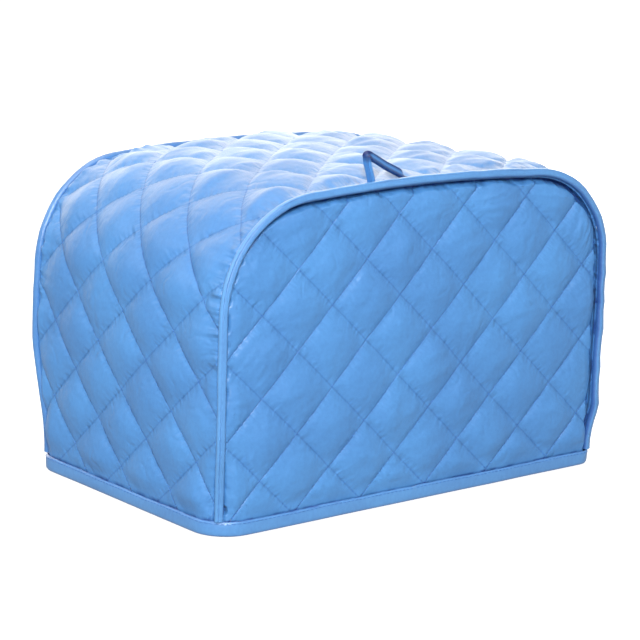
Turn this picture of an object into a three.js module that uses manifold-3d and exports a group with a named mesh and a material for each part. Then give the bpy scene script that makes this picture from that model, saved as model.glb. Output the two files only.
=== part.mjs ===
// Quilted toaster cover that stands over a toaster like a tea cosy.
// One quilted strip wraps the left side, the top and the right side. A quilted panel closes the front and
// another the back, each set into a piped seam. A folded tape binds the hem, and a small loop on top
// lifts the cover off. Millimetres, +Z up, X along the front, the front faces -Y, origin in the middle
// of the footprint.
import * as THREE from "three";
import { mergeVertices } from "three/addons/utils/BufferGeometryUtils.js";
import Module from "manifold-3d";

const wasm = await Module();
wasm.setup();

// Driving sizes of the cover
const WIDTH = 290; // between the outer faces of the two sides
const DEPTH = 185.7; // between the centres of the two piped seams
const HEIGHT = 191.2; // floor to the seam's highest place
const TOP_CROWN = 8.8; // how far the top edge falls from its middle to its corners
const SHOULDER = 55.7; // how far each rounded shoulder reaches along both its edges
const LEFT_FULLNESS = 0.56; // roundness of a shoulder's curve, larger is squarer
const RIGHT_FULLNESS = 0.6;
const SIDE_BULGE = 4.2; // how far the wrap swells between its two seams
const BULGE_TOP = 100; // the swell is full from this height up
const BACK_TUCK = 2.4; // how far the back seam is drawn in over the shoulders and the top
const TUCK_LOW = 90; // the tuck starts at this height
const TUCK_HIGH = 150; // and is full here
const TUCK_REACH = 40; // and fades out this far in front of the back seam
const PANEL_BULGE = 2.2; // how far the front and back swell inside their seams
const PANEL_REACH = 70; // from the seam to where that swell is full
const PANEL_RECESS = 2; // the panels' faces lie this far behind the seams' centres

// Quilted cloth
const CLOTH = 1.6; // thickness where it is stitched through
const OUTER_PUFF = 3.2; // height of a diamond's crest on the outside
const INNER_PUFF = 0.8; // and on the inside
const PUFF_POWER = 0.62; // below 1 for full diamonds with narrow valleys
const FLAT_RIM = 5; // the quilting is pressed flat this near a seam
const FULL_PUFF = 22; // and is full this far from it
const OUTER_STEPS = 4; // facets along a diamond's side, outside
const INNER_STEPS = 2; // and inside
const CORNER_FACET = 7; // longest facet across a corner that is rounded in plan
const CORNER_TOP = 62; // up to this height
const CORNER_REACH = 20; // and this far from the corner
const SEAM_FACET = 9; // longest facet along a seam where it goes round a shoulder
const SHOULDER_LENGTH = 90; // length of the outline that a shoulder takes up
const POINT_RELIEF = 0.2; // keeps the points of a flat stretch while the cloth is cut, so that it can bend
const BLANK = 20; // the uncut cloth reaches this far beyond both faces
const OUTLINE_SAMPLES = 120; // points on the outline that distances are measured to
const PANEL_SAMPLES = 96; // and points along a panel's cut edge

// Half diagonals of the diamonds, one stitched crossing, and how the cloth is turned on the cover
const PANEL_QUILT = {
  halfAlong: 24.7,
  halfUp: 23.46,
  crossing: [-117.4, 32],
  turn: 0.016,
  about: [0, 100],
};
const WRAP_QUILT = {
  halfAlong: 23.39,
  halfUp: 23.85,
  crossing: [44.3, 18.3],
  turn: -0.053,
  about: [120, 100],
};

// Seams, hem and loop
const GAP = 0.3; // between neighbouring pieces
const PIPING_RADIUS = 2.4;
const PIPING_SIDES = 8;
const PIPING_STEPS = 66;
const CORNER_SEGMENTS = 7; // facets round a corner of the hem tape
const PANEL_EDGE = 2.5; // from the side's outer face to the panel's cut edge
const HEM_HEIGHT = 10;
const HEM_TAPE = 1; // thickness of the folded tape
const HEM_PLAY = 0.8; // room for the cloth on each side inside the fold
const HEM_SLOT = 3.6; // the cloth ends this far to each side of a seam's foot
const HEM_SET = 14; // the corners are fully rounded in plan up to this height

// Each corner's plan radius at the floor, and the height from which it runs square
const HEM_CORNERS = {
  leftFront: { radius: 20, free: 60 },
  rightFront: { radius: 12, free: 50 },
  leftBack: { radius: 18, free: 85 },
  rightBack: { radius: 16, free: 60 },
};
const PIPING_FOOT = 0.8; // the piping's foot stands this far outside the rounded corner
const LOOP_WIDTH = 6.5;
const LOOP_THICKNESS = 1.8;
const LOOP_CHAMFER = 0.54;
const LOOP_STEPS = 22;
// The loop leans to the left: right foot, rising leg, fold, falling leg and left foot, as x and height
// above the seam's highest place.
const LOOP_PATH = [
  [-13.9, 2.4],
  [-17.8, 4],
  [-28, 8.8],
  [-36, 13.4],
  [-41.2, 15.6],
  [-42.6, 12.4],
  [-40.6, 7],
  [-38.6, 1.1],
];

// Worked out from the driving sizes
const HALF_WIDTH = WIDTH / 2;
const SEAM_Y = DEPTH / 2;
const FACE_Y = SEAM_Y - PANEL_RECESS; // the panels' outer faces
const STRAIGHT_SIDE = HEIGHT - TOP_CROWN - SHOULDER; // where a side starts to bend inwards
const CUT_HEIGHT = HEM_TAPE + GAP; // the cloth's lower edge, inside the folded tape
const PIPING_FLOOR = HEM_HEIGHT + GAP;
const WRAP_EDGE = PIPING_RADIUS + GAP; // from a seam's centre to the wrap's cut edge
const HEM_INSIDE = CLOTH + HEM_PLAY; // the fold's inner face, measured inwards from the cloth's outer face

const outline = makeOutline();
const OUTLINE_LENGTH = outline.getLength();
const OUTLINE_POINTS = outline.getSpacedPoints(OUTLINE_SAMPLES);

function smoothstep(value, low, high) {
  return THREE.MathUtils.smoothstep(value, low, high);
}

// The seam's line in the front's plane: up the left side, over the top and down the right side.
function makeOutline() {
  const eaves = HEIGHT - TOP_CROWN;
  const topEnd = HALF_WIDTH - SHOULDER;
  const fall = TOP_CROWN * (topEnd / HALF_WIDTH) ** 2;
  const path = new THREE.Path();
  const shoulder = (side, fullness) => {
    const onSide = new THREE.Vector2(side * HALF_WIDTH, STRAIGHT_SIDE);
    const onTop = new THREE.Vector2(side * topEnd, HEIGHT - fall);
    const corner = new THREE.Vector2(side * HALF_WIDTH, eaves);
    return {
      onSide,
      onTop,
      sidePull: onSide.clone().lerp(corner, fullness),
      topPull: onTop.clone().lerp(corner, fullness),
    };
  };
  const left = shoulder(-1, LEFT_FULLNESS);
  const right = shoulder(1, RIGHT_FULLNESS);
  path.moveTo(-HALF_WIDTH, 0);
  path.lineTo(left.onSide.x, left.onSide.y);
  path.bezierCurveTo(...left.sidePull, ...left.topPull, ...left.onTop);
  path.quadraticCurveTo(0, HEIGHT + fall, ...right.onTop);
  path.bezierCurveTo(...right.topPull, ...right.sidePull, ...right.onSide);
  path.lineTo(HALF_WIDTH, 0);
  return path;
}

// A place on the outline and its outward direction, at a length measured from the left hem.
function outlineAt(length) {
  const share = THREE.MathUtils.clamp(length / OUTLINE_LENGTH, 0, 1);
  const point = outline.getPoint(share);
  const tangent = outline.getTangent(share);
  return { point, outward: new THREE.Vector2(-tangent.y, tangent.x) };
}

// How near a place on a panel is to the panel's seam line.
function distanceToOutline(x, z) {
  let nearest = Infinity;
  const place = new THREE.Vector2(x, z);
  const foot = new THREE.Vector2();
  for (let i = 1; i < OUTLINE_POINTS.length; i++) {
    const start = OUTLINE_POINTS[i - 1];
    const step = OUTLINE_POINTS[i].clone().sub(start);
    const share = THREE.MathUtils.clamp(place.clone().sub(start).dot(step) / step.lengthSq(), 0, 1);
    foot.copy(start).addScaledVector(step, share);
    nearest = Math.min(nearest, foot.distanceTo(place));
  }
  return nearest;
}

// Flat cloth coordinates of a place given in diamonds along the two stitching directions.
function quiltPlace(quilt, u, v) {
  const along = quilt.crossing[0] + (u - v) * quilt.halfAlong - quilt.about[0];
  const up = quilt.crossing[1] + (u + v) * quilt.halfUp - quilt.about[1];
  const cos = Math.cos(quilt.turn);
  const sin = Math.sin(quilt.turn);
  return [quilt.about[0] + along * cos - up * sin, quilt.about[1] + along * sin + up * cos];
}

// The same backwards: how many diamonds a flat place lies along the two stitching directions.
function quiltCoordinates(quilt, x, y) {
  const cos = Math.cos(quilt.turn);
  const sin = Math.sin(quilt.turn);
  const dx = x - quilt.about[0];
  const dy = y - quilt.about[1];
  const along = (quilt.about[0] + dx * cos + dy * sin - quilt.crossing[0]) / quilt.halfAlong;
  const up = (quilt.about[1] - dx * sin + dy * cos - quilt.crossing[1]) / quilt.halfUp;
  return [(up + along) / 2, (up - along) / 2];
}

function puff(u, v) {
  return Math.abs(Math.sin(Math.PI * u) * Math.sin(Math.PI * v)) ** PUFF_POWER;
}

// A solid whose one side is a quilted face over the box of low and high, and whose other side is flat.
// height gives the face's height at a flat place and at its diamond coordinates.
function quiltedFace(quilt, low, high, steps, height, flatSide) {
  const box = [low, high, [low[0], high[1]], [high[0], low[1]]];
  const corners = box.map((corner) => quiltCoordinates(quilt, ...corner));
  const us = corners.map((c) => c[0]);
  const vs = corners.map((c) => c[1]);
  const u0 = Math.floor(Math.min(...us));
  const v0 = Math.floor(Math.min(...vs));
  const uCount = (Math.ceil(Math.max(...us)) - u0) * steps;
  const vCount = (Math.ceil(Math.max(...vs)) - v0) * steps;
  const positions = [];
  const index = [];
  const row = vCount + 1;
  const flatStart = (uCount + 1) * row;
  const ring = [];
  for (const layer of ["face", "flat"]) {
    for (let i = 0; i <= uCount; i++) {
      for (let j = 0; j <= vCount; j++) {
        const u = u0 + i / steps;
        const v = v0 + j / steps;
        const [x, y] = quiltPlace(quilt, u, v);
        const relief = i % 2 === 0 ? POINT_RELIEF : 0;
        positions.push(x, y, layer === "face" ? height(x, y, u, v) + relief : flatSide);
      }
    }
  }
  const faceUp = flatSide < 0;
  const addQuad = (a, b, c, d) => index.push(...(faceUp ? [a, b, c, a, c, d] : [a, c, b, a, d, c]));
  for (let i = 0; i < uCount; i++) {
    for (let j = 0; j < vCount; j++) {
      const a = i * row + j;
      addQuad(a, a + row, a + row + 1, a + 1);
      addQuad(flatStart + a, flatStart + a + 1, flatStart + a + row + 1, flatStart + a + row);
    }
  }
  for (let i = 0; i < uCount; i++) ring.push(i * row);
  for (let j = 0; j < vCount; j++) ring.push(uCount * row + j);
  for (let i = uCount; i > 0; i--) ring.push(i * row + vCount);
  for (let j = vCount; j > 0; j--) ring.push(j);
  ring.forEach((a, k) => {
    const b = ring[(k + 1) % ring.length];
    addQuad(flatStart + a, flatStart + b, b, a);
  });
  const geometry = new THREE.BufferGeometry();
  geometry.setAttribute("position", new THREE.Float32BufferAttribute(positions, 3));
  geometry.setIndex(index);
  return geometry;
}

function toSolid(geometry) {
  const bare = geometry.clone();
  bare.deleteAttribute("normal");
  bare.deleteAttribute("uv");
  const merged = mergeVertices(bare);
  return new wasm.Manifold(
    new wasm.Mesh({
      numProp: 3,
      vertProperties: new Float32Array(merged.attributes.position.array),
      triVerts: new Uint32Array(merged.index.array),
    }),
  );
}

function toGeometry(solid) {
  const mesh = solid.getMesh();
  const geometry = new THREE.BufferGeometry();
  geometry.setAttribute("position", new THREE.Float32BufferAttribute(mesh.vertProperties, 3));
  geometry.setIndex(Array.from(mesh.triVerts));
  return geometry;
}

// Halves each edge that the test calls long, in both triangles that share it, until none is left.
function splitEdges(geometry, isLong) {
  const points = geometry.toNonIndexed().attributes.position;
  const waiting = [];
  for (let i = 0; i < points.count; i += 3) {
    waiting.push([0, 1, 2].map((k) => new THREE.Vector3().fromBufferAttribute(points, i + k)));
  }
  const positions = [];
  while (waiting.length > 0) {
    const triangle = waiting.pop();
    const long = triangle
      .map((a, k) => ({ a, b: triangle[(k + 1) % 3], c: triangle[(k + 2) % 3] }))
      .filter(({ a, b }) => isLong(a, b))
      .sort((e, f) => f.a.distanceTo(f.b) - e.a.distanceTo(e.b));
    if (long.length === 0) {
      triangle.forEach((point) => positions.push(...point.toArray()));
      continue;
    }
    const { a, b, c } = long[0];
    const middle = a.clone().add(b).multiplyScalar(0.5);
    waiting.push([a, middle, c], [middle, b, c]);
  }
  const split = new THREE.BufferGeometry();
  split.setAttribute("position", new THREE.Float32BufferAttribute(positions, 3));
  return mergeVertices(split);
}

// Flat quilted cloth, cut to the shape of a prism: quilted on both faces, its stitched valleys CLOTH thick.
// fade gives the quilting's share of its full height, and bends says which edges are too long for the bends
// that follow. The cut adds points along the edges, so each point's height is set again from its own place.
function quiltedCloth(quilt, low, high, fade, bends, prism) {
  const outer = (x, y, u, v) => OUTER_PUFF * puff(u, v) * fade(x, y);
  const inner = (x, y, u, v) => -CLOTH - INNER_PUFF * puff(u, v) * fade(x, y);
  const outside = toSolid(quiltedFace(quilt, low, high, OUTER_STEPS, outer, -BLANK));
  const inside = toSolid(quiltedFace(quilt, low, high, INNER_STEPS, inner, BLANK));
  const cut = toGeometry(outside.intersect(inside).intersect(toSolid(prism)));
  const isOuter = (height) => height > -CLOTH / 2;
  const isLong = (a, b) => isOuter(a.z) === isOuter(b.z) && bends(a, b);
  return placeEach(splitEdges(cut, isLong), (x, y, height) => {
    const [u, v] = quiltCoordinates(quilt, x, y);
    return [x, y, (isOuter(height) ? outer : inner)(x, y, u, v)];
  });
}

// Moves every point of a geometry to the place that the function gives for it.
function placeEach(geometry, place) {
  const points = geometry.attributes.position;
  for (let i = 0; i < points.count; i++) {
    points.setXYZ(i, ...place(points.getX(i), points.getY(i), points.getZ(i)));
  }
  return geometry;
}

function hemCorner(x, y) {
  return HEM_CORNERS[(x < 0 ? "left" : "right") + (y < 0 ? "Front" : "Back")];
}

// How far a corner is rounded in plan at a height, from 1 at the hem to 0 where its seam runs square.
function hemShare(corner, z) {
  return 1 - smoothstep(z, HEM_SET, corner.free);
}

// How far the back seam is drawn in at a height.
function backTuck(z) {
  return BACK_TUCK * smoothstep(z, TUCK_LOW, TUCK_HIGH);
}

// Rounds a corner in plan. A place on a wall is given by its distance from the corner along the wall and
// its distance inwards from the wall's outer face, and the rounded place comes back in the same measures.
// The cut edge, which lies at edge along the wall, opens to make room for the piping's foot.
function roundCorner(corner, along, inward, z, edge) {
  const share = hemShare(corner, z);
  if (along >= corner.radius || share === 0) return [along, inward];
  const spread = along + (HEM_SLOT - edge) * (1 - along / corner.radius);
  const angle = (Math.PI / 4) * (1 - spread / corner.radius);
  const radius = corner.radius - inward;
  return [
    THREE.MathUtils.lerp(along, corner.radius - radius * Math.sin(angle), share),
    THREE.MathUtils.lerp(inward, corner.radius - radius * Math.cos(angle), share),
  ];
}

// The wrap: flat length, flat depth and height above the cloth's face, bent over the outline.
function wrapPlace(length, depth, height) {
  const { point, outward } = outlineAt(length);
  const across = (2 * depth) / DEPTH - 1;
  const swell = SIDE_BULGE * (1 - across ** 2) * smoothstep(point.y, HEM_SET, BULGE_TOP);
  const tuck = backTuck(point.y) * smoothstep(depth, DEPTH - TUCK_REACH, DEPTH);
  const x = point.x + outward.x * (height + swell - tuck);
  const y = depth - SEAM_Y;
  const z = point.y + outward.y * (height + swell - tuck);
  const corner = hemCorner(x, y);
  if (z >= corner.free) return [x, y, z];
  const edge = WRAP_EDGE - PANEL_RECESS;
  const [along, inward] = roundCorner(corner, FACE_Y - Math.abs(y), HALF_WIDTH - Math.abs(x), z, edge);
  return [Math.sign(x) * (HALF_WIDTH - inward), Math.sign(y) * (FACE_Y - along), z];
}

function makeWrapPanel() {
  const low = [0, 0];
  const high = [OUTLINE_LENGTH, DEPTH];
  const fade = (length, depth) => {
    const fromSeam = Math.min(depth, DEPTH - depth);
    const fromHem = Math.min(length, OUTLINE_LENGTH - length) - HEM_HEIGHT;
    return smoothstep(Math.min(fromSeam, fromHem), FLAT_RIM, FULL_PUFF);
  };
  const cutLength = OUTLINE_LENGTH - 2 * CUT_HEIGHT;
  const cutDepth = DEPTH - 2 * WRAP_EDGE;
  const prism = new THREE.BoxGeometry(cutLength, cutDepth, BLANK);
  prism.translate(OUTLINE_LENGTH / 2, DEPTH / 2, 0);
  const bends = (a, b) => {
    const fromSeam = Math.min(a.y, b.y, DEPTH - a.y, DEPTH - b.y);
    const fromHem = Math.min(a.x, b.x, OUTLINE_LENGTH - a.x, OUTLINE_LENGTH - b.x);
    if (fromHem < CORNER_TOP) return fromSeam < CORNER_REACH && Math.abs(a.y - b.y) > CORNER_FACET;
    const atShoulder = fromHem > STRAIGHT_SIDE && fromHem < STRAIGHT_SIDE + SHOULDER_LENGTH;
    return atShoulder && fromSeam < FULL_PUFF / 2 && Math.abs(a.x - b.x) > SEAM_FACET;
  };
  return placeEach(quiltedCloth(WRAP_QUILT, low, high, fade, bends, prism), wrapPlace);
}

// A front or back panel is laid out as seen from outside, so the back one has the outline mirrored.
// side is -1 for the front, which faces -Y, and 1 for the back.
function makeEndPanel(side) {
  const low = [-HALF_WIDTH, 0];
  const high = [HALF_WIDTH, HEIGHT];
  const fromEdge = (x, z) => Math.min(distanceToOutline(-side * x, z), Math.max(z - HEM_HEIGHT, 0));
  const fade = (x, z) => smoothstep(fromEdge(x, z), FLAT_RIM, FULL_PUFF);
  const shape = new THREE.Shape();
  for (let i = 0; i <= PANEL_SAMPLES; i++) {
    const { point, outward } = outlineAt((OUTLINE_LENGTH * i) / PANEL_SAMPLES);
    const inset = side === 1 ? PANEL_EDGE + backTuck(point.y) : PANEL_EDGE;
    const x = point.x - outward.x * inset;
    const z = Math.max(point.y - outward.y * inset, CUT_HEIGHT);
    if (i === 0) shape.moveTo(-side * x, z);
    else shape.lineTo(-side * x, z);
  }
  const prism = new THREE.ExtrudeGeometry(shape, { depth: BLANK, bevelEnabled: false });
  prism.translate(0, 0, -BLANK / 2);
  const bends = (a, b) => {
    const fromCorner = HALF_WIDTH - Math.max(Math.abs(a.x), Math.abs(b.x));
    const atCorner = fromCorner < CORNER_REACH && Math.min(a.y, b.y) < CORNER_TOP;
    return atCorner && Math.abs(a.x - b.x) > CORNER_FACET;
  };
  return placeEach(quiltedCloth(PANEL_QUILT, low, high, fade, bends, prism), (flatX, z, height) => {
    const x = -side * flatX;
    const swell = PANEL_BULGE * Math.sin((Math.PI / 2) * Math.min(fromEdge(flatX, z) / PANEL_REACH, 1));
    const corner = hemCorner(x, side);
    const [along, inward] = roundCorner(corner, HALF_WIDTH - Math.abs(x), -height - swell, z, PANEL_EDGE);
    return [Math.sign(x) * (HALF_WIDTH - along), side * (FACE_Y - inward), z];
  });
}

// The seam's centre line in space, from above the hem tape over the top and down to it again.
class SeamCurve extends THREE.Curve {
  constructor(side) {
    super();
    this.side = side;
  }

  getPoint(share, target = new THREE.Vector3()) {
    const length = THREE.MathUtils.lerp(PIPING_FLOOR, OUTLINE_LENGTH - PIPING_FLOOR, share);
    const { point, outward } = outlineAt(length);
    const corner = hemCorner(point.x, this.side);
    const rounded = hemShare(corner, point.y);
    if (rounded === 0) {
      const tuck = this.side === 1 ? backTuck(point.y) : 0;
      return target.set(point.x - outward.x * tuck, this.side * SEAM_Y, point.y - outward.y * tuck);
    }
    const inset = corner.radius - (corner.radius + PIPING_FOOT) * Math.SQRT1_2;
    const x = THREE.MathUtils.lerp(HALF_WIDTH, HALF_WIDTH - inset, rounded);
    const y = THREE.MathUtils.lerp(SEAM_Y, FACE_Y - inset, rounded);
    return target.set(Math.sign(point.x) * x, this.side * y, point.y);
  }
}

function makePiping(side) {
  const section = new THREE.Shape();
  for (let i = 0; i < PIPING_SIDES; i++) {
    const angle = ((i + 0.5) * 2 * Math.PI) / PIPING_SIDES;
    const x = PIPING_RADIUS * Math.cos(angle);
    const y = PIPING_RADIUS * Math.sin(angle);
    if (i === 0) section.moveTo(x, y);
    else section.lineTo(x, y);
  }
  return new THREE.ExtrudeGeometry(section, {
    steps: PIPING_STEPS,
    bevelEnabled: false,
    extrudePath: new SeamCurve(side),
  });
}

// A ring in plan between two offsets of the cloth's outer face, measured inwards, from bottom to top.
function planRing(outside, inside, bottom, top) {
  const rounded = (path, offset) => {
    const quarters = [
      [1, 1],
      [-1, 1],
      [-1, -1],
      [1, -1],
    ];
    quarters.forEach(([right, back], k) => {
      const { radius } = hemCorner(right, back);
      const x = right * (HALF_WIDTH - radius);
      const y = back * (FACE_Y - radius);
      path.absarc(x, y, radius - offset, (k * Math.PI) / 2, ((k + 1) * Math.PI) / 2);
    });
    path.closePath();
    return path;
  };
  const shape = rounded(new THREE.Shape(), outside);
  shape.holes.push(rounded(new THREE.Path(), inside));
  const ring = new THREE.ExtrudeGeometry(shape, {
    depth: top - bottom,
    bevelEnabled: false,
    curveSegments: CORNER_SEGMENTS,
  });
  ring.translate(0, 0, bottom);
  return ring;
}

// The hem tape is folded up on both sides of the cloth's lower edge.
function makeHemBinding() {
  const whole = toSolid(planRing(-HEM_PLAY - HEM_TAPE, HEM_INSIDE + HEM_TAPE, 0, HEM_HEIGHT));
  const fold = toSolid(planRing(-HEM_PLAY, HEM_INSIDE, HEM_TAPE, HEM_HEIGHT + 1));
  return toGeometry(whole.subtract(fold));
}

// The lifting loop is a flat strap whose feet stand in the front seam.
function makePullLoop() {
  const y = -SEAM_Y + WRAP_EDGE + LOOP_WIDTH / 2;
  const centres = LOOP_PATH.map(([x, above]) => new THREE.Vector3(x, y, HEIGHT + above));
  const across = LOOP_WIDTH / 2;
  const half = LOOP_THICKNESS / 2;
  const section = new THREE.Shape();
  section.moveTo(-across, -half + LOOP_CHAMFER);
  section.lineTo(-across + LOOP_CHAMFER, -half);
  section.lineTo(across - LOOP_CHAMFER, -half);
  section.lineTo(across, -half + LOOP_CHAMFER);
  section.lineTo(across, half - LOOP_CHAMFER);
  section.lineTo(across - LOOP_CHAMFER, half);
  section.lineTo(-across + LOOP_CHAMFER, half);
  section.lineTo(-across, half - LOOP_CHAMFER);
  return new THREE.ExtrudeGeometry(section, {
    steps: LOOP_STEPS,
    bevelEnabled: false,
    extrudePath: new THREE.CatmullRomCurve3(centres),
  });
}

function addPiece(group, name, geometry, color, roughness) {
  const material = new THREE.MeshStandardMaterial({ color, roughness, metalness: 0 });
  const mesh = new THREE.Mesh(geometry, material);
  mesh.name = name;
  group.add(mesh);
}

const group = new THREE.Group();
addPiece(group, "front_panel", makeEndPanel(-1), 0x5d9bdc, 0.5);
addPiece(group, "back_panel", makeEndPanel(1), 0x5d9bdc, 0.5);
addPiece(group, "wrap_panel", makeWrapPanel(), 0x6aa6e2, 0.5);
addPiece(group, "front_piping", makePiping(-1), 0x62a0e0, 0.45);
addPiece(group, "back_piping", makePiping(1), 0x62a0e0, 0.45);
addPiece(group, "hem_binding", makeHemBinding(), 0x5c9adf, 0.5);
addPiece(group, "pull_loop", makePullLoop(), 0x3f6fb8, 0.5);

export default group;
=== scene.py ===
"""Quilted toaster cover: soft pieces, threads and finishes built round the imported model.

Sizes are millimetres in the part's own frame, and become metres when a mesh is written. The form's
sizes are those of the part's source, so that each soft piece lies where its solid does. Only the hem's
height and right front corner, the pipings' feet and the softer puffs follow the photograph more closely
than the solids.
"""

import logging
import math
from dataclasses import dataclass, field
from enum import Enum

import bpy
import numpy as np
from mathutils import Matrix, Vector

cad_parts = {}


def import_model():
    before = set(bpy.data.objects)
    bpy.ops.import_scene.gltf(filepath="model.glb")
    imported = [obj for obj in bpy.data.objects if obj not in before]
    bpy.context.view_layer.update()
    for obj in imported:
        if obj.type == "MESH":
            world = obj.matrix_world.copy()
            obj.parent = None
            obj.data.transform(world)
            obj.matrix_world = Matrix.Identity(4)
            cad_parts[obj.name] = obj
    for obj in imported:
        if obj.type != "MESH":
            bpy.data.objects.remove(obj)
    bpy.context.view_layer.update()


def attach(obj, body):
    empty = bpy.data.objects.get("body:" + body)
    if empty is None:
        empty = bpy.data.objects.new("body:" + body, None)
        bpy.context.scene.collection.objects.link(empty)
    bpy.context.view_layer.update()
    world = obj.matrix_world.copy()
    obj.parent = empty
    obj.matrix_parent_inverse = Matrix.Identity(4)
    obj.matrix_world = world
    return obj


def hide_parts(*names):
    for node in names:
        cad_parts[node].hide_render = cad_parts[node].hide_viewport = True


LOG = logging.getLogger("toaster_cover")
MM = 0.001
Array = np.ndarray
Colour = tuple[float, float, float]
Socket = bpy.types.NodeSocket


def smoothstep(value: Array, low: float | Array, high: float | Array) -> Array:
    """Rises smoothly from 0 at low to 1 at high."""
    share = np.clip((value - low) / (high - low), 0.0, 1.0)
    return share * share * (3.0 - 2.0 * share)


def lattice(column: Array, row: Array, seed: float) -> Array:
    """A fixed random value from -1 to 1 for each point of a lattice.

    Args:
        column: whole numbers along the first direction.
        row: whole numbers along the second direction.
        seed: another seed gives another set of values.

    Returns:
        One value for each pair.
    """
    scattered = np.sin(column * 127.1 + row * 311.7 + seed * 74.7) * 43758.5453
    return 2.0 * (scattered - np.floor(scattered)) - 1.0


def soft_noise(x: Array, y: Array, seed: float) -> Array:
    """Smooth random hills and hollows, about one unit across and from -1 to 1 high.

    Args:
        x: places along the first direction, in units of a hill.
        y: places along the second direction, in units of a hill.
        seed: another seed gives other hills.

    Returns:
        The height at each place.
    """
    column = np.floor(x)
    row = np.floor(y)
    across = smoothstep(x - column, 0.0, 1.0)
    up = smoothstep(y - row, 0.0, 1.0)
    low = lattice(column, row, seed) * (1.0 - across) + lattice(column + 1, row, seed) * across
    high = lattice(column, row + 1, seed) * (1.0 - across) + lattice(column + 1, row + 1, seed) * across
    return low * (1.0 - up) + high * up


def line_noise(along: Array, size: float, seed: float) -> Array:
    """Soft noise along a line, whose hills are about one size long."""
    return soft_noise(along / size, along * 0.0, seed)


def turn_share(up: Array, across: Array) -> Array:
    """A direction as a share of a full turn, from 0 to 1."""
    return np.mod(np.arctan2(up, across) / (2 * math.pi) + 1.0, 1.0)


def edge_dashes(along: Array, size: float, seed: float, low: float, high: float) -> Array:
    """Uneven dashes along an edge, from 0 to 1.

    Args:
        along: places along the edge.
        size: about how long a dash is.
        seed: another seed gives other dashes.
        low: the noise that a dash starts from.
        high: the noise from which it is full.

    Returns:
        The dash's strength at each place.
    """
    return smoothstep(line_noise(along, size, seed), low, high)


class End(Enum):
    """An end of the cover; the value is its sign along Y."""

    FRONT = -1
    BACK = 1


@dataclass(frozen=True)
class HemCorner:
    """A corner of the hem: its plan radius at the floor, and the height where its seam runs square."""

    radius: float
    free: float


@dataclass(frozen=True)
class CoverForm:
    """The standing cover's driving sizes."""

    width: float = 290.0
    depth: float = 185.7
    height: float = 191.2
    top_crown: float = 8.8
    shoulder: float = 55.7
    left_fullness: float = 0.56
    right_fullness: float = 0.6
    side_bulge: float = 4.2
    bulge_top: float = 100.0
    back_tuck: float = 2.4
    tuck_low: float = 90.0
    tuck_high: float = 150.0
    tuck_reach: float = 40.0
    panel_bulge: float = 2.2
    panel_reach: float = 70.0
    panel_recess: float = 2.0
    cloth: float = 1.6
    outer_puff: float = 3.2
    inner_puff: float = 0.8
    soft_puff: float = 1.5
    sink: float = 0.7
    piping_radius: float = 2.4
    piping_foot: float = 0.8
    piping_floor: float = 9.0
    cut_height: float = 1.3
    hem_height: float = 8.7
    hem_set: float = 14.0
    slot: float = 2.0
    left_front: HemCorner = HemCorner(20.0, 60.0)
    right_front: HemCorner = HemCorner(8.0, 42.0)
    left_back: HemCorner = HemCorner(18.0, 85.0)
    right_back: HemCorner = HemCorner(16.0, 60.0)

    @property
    def half_width(self) -> float:
        """From the middle to a side's outer face."""
        return self.width / 2

    @property
    def seam_y(self) -> float:
        """From the middle to a seam's centre."""
        return self.depth / 2

    @property
    def face_y(self) -> float:
        """From the middle to an end panel's outer face."""
        return self.seam_y - self.panel_recess

    @property
    def straight_side(self) -> float:
        """The height where a side starts to bend inwards."""
        return self.height - self.top_crown - self.shoulder

    def hem_corner(self, x: Array, y: Array) -> tuple[Array, Array]:
        """The corner of the hem that is nearest to each place.

        Args:
            x: places across.
            y: places from front to back.

        Returns:
            Its plan radius, and the height from which it runs square.
        """
        corners = (self.left_front, self.right_front, self.left_back, self.right_back)
        which = (x >= 0.0).astype(int) + 2 * (y >= 0.0).astype(int)
        radius = np.array([corner.radius for corner in corners])[which]
        free = np.array([corner.free for corner in corners])[which]
        return radius, free

    def hem_share(self, free: Array, z: Array) -> Array:
        """How far a corner is rounded in plan, from 1 at the hem to 0 where it runs square."""
        return 1.0 - smoothstep(z, self.hem_set, free)

    def tuck(self, end: End, z: Array) -> Array:
        """How far an end's seam is drawn in at a height."""
        if end is End.FRONT:
            return np.zeros_like(z)
        return self.back_tuck * smoothstep(z, self.tuck_low, self.tuck_high)

    def round_corner(
        self,
        corner: tuple[Array, Array],
        along: Array,
        inward: Array,
        z: Array,
        edge: float,
    ) -> tuple[Array, Array]:
        """Rounds a corner in plan.

        Args:
            corner: its plan radius, and the height from which it runs square.
            along: distance from the corner along the wall.
            inward: distance inwards from the wall's outer face.
            z: height.
            edge: where the cut edge lies along the wall; it opens to the slot for the piping's foot.

        Returns:
            The rounded place in the same two measures.
        """
        radius, free = corner
        share = np.where(along < radius, self.hem_share(free, z), 0.0)
        spread = along + (self.slot - edge) * (1.0 - along / radius)
        angle = math.pi / 4 * (1.0 - spread / radius)
        round_along = radius - (radius - inward) * np.sin(angle)
        round_inward = radius - (radius - inward) * np.cos(angle)
        return along + (round_along - along) * share, inward + (round_inward - inward) * share


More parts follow.
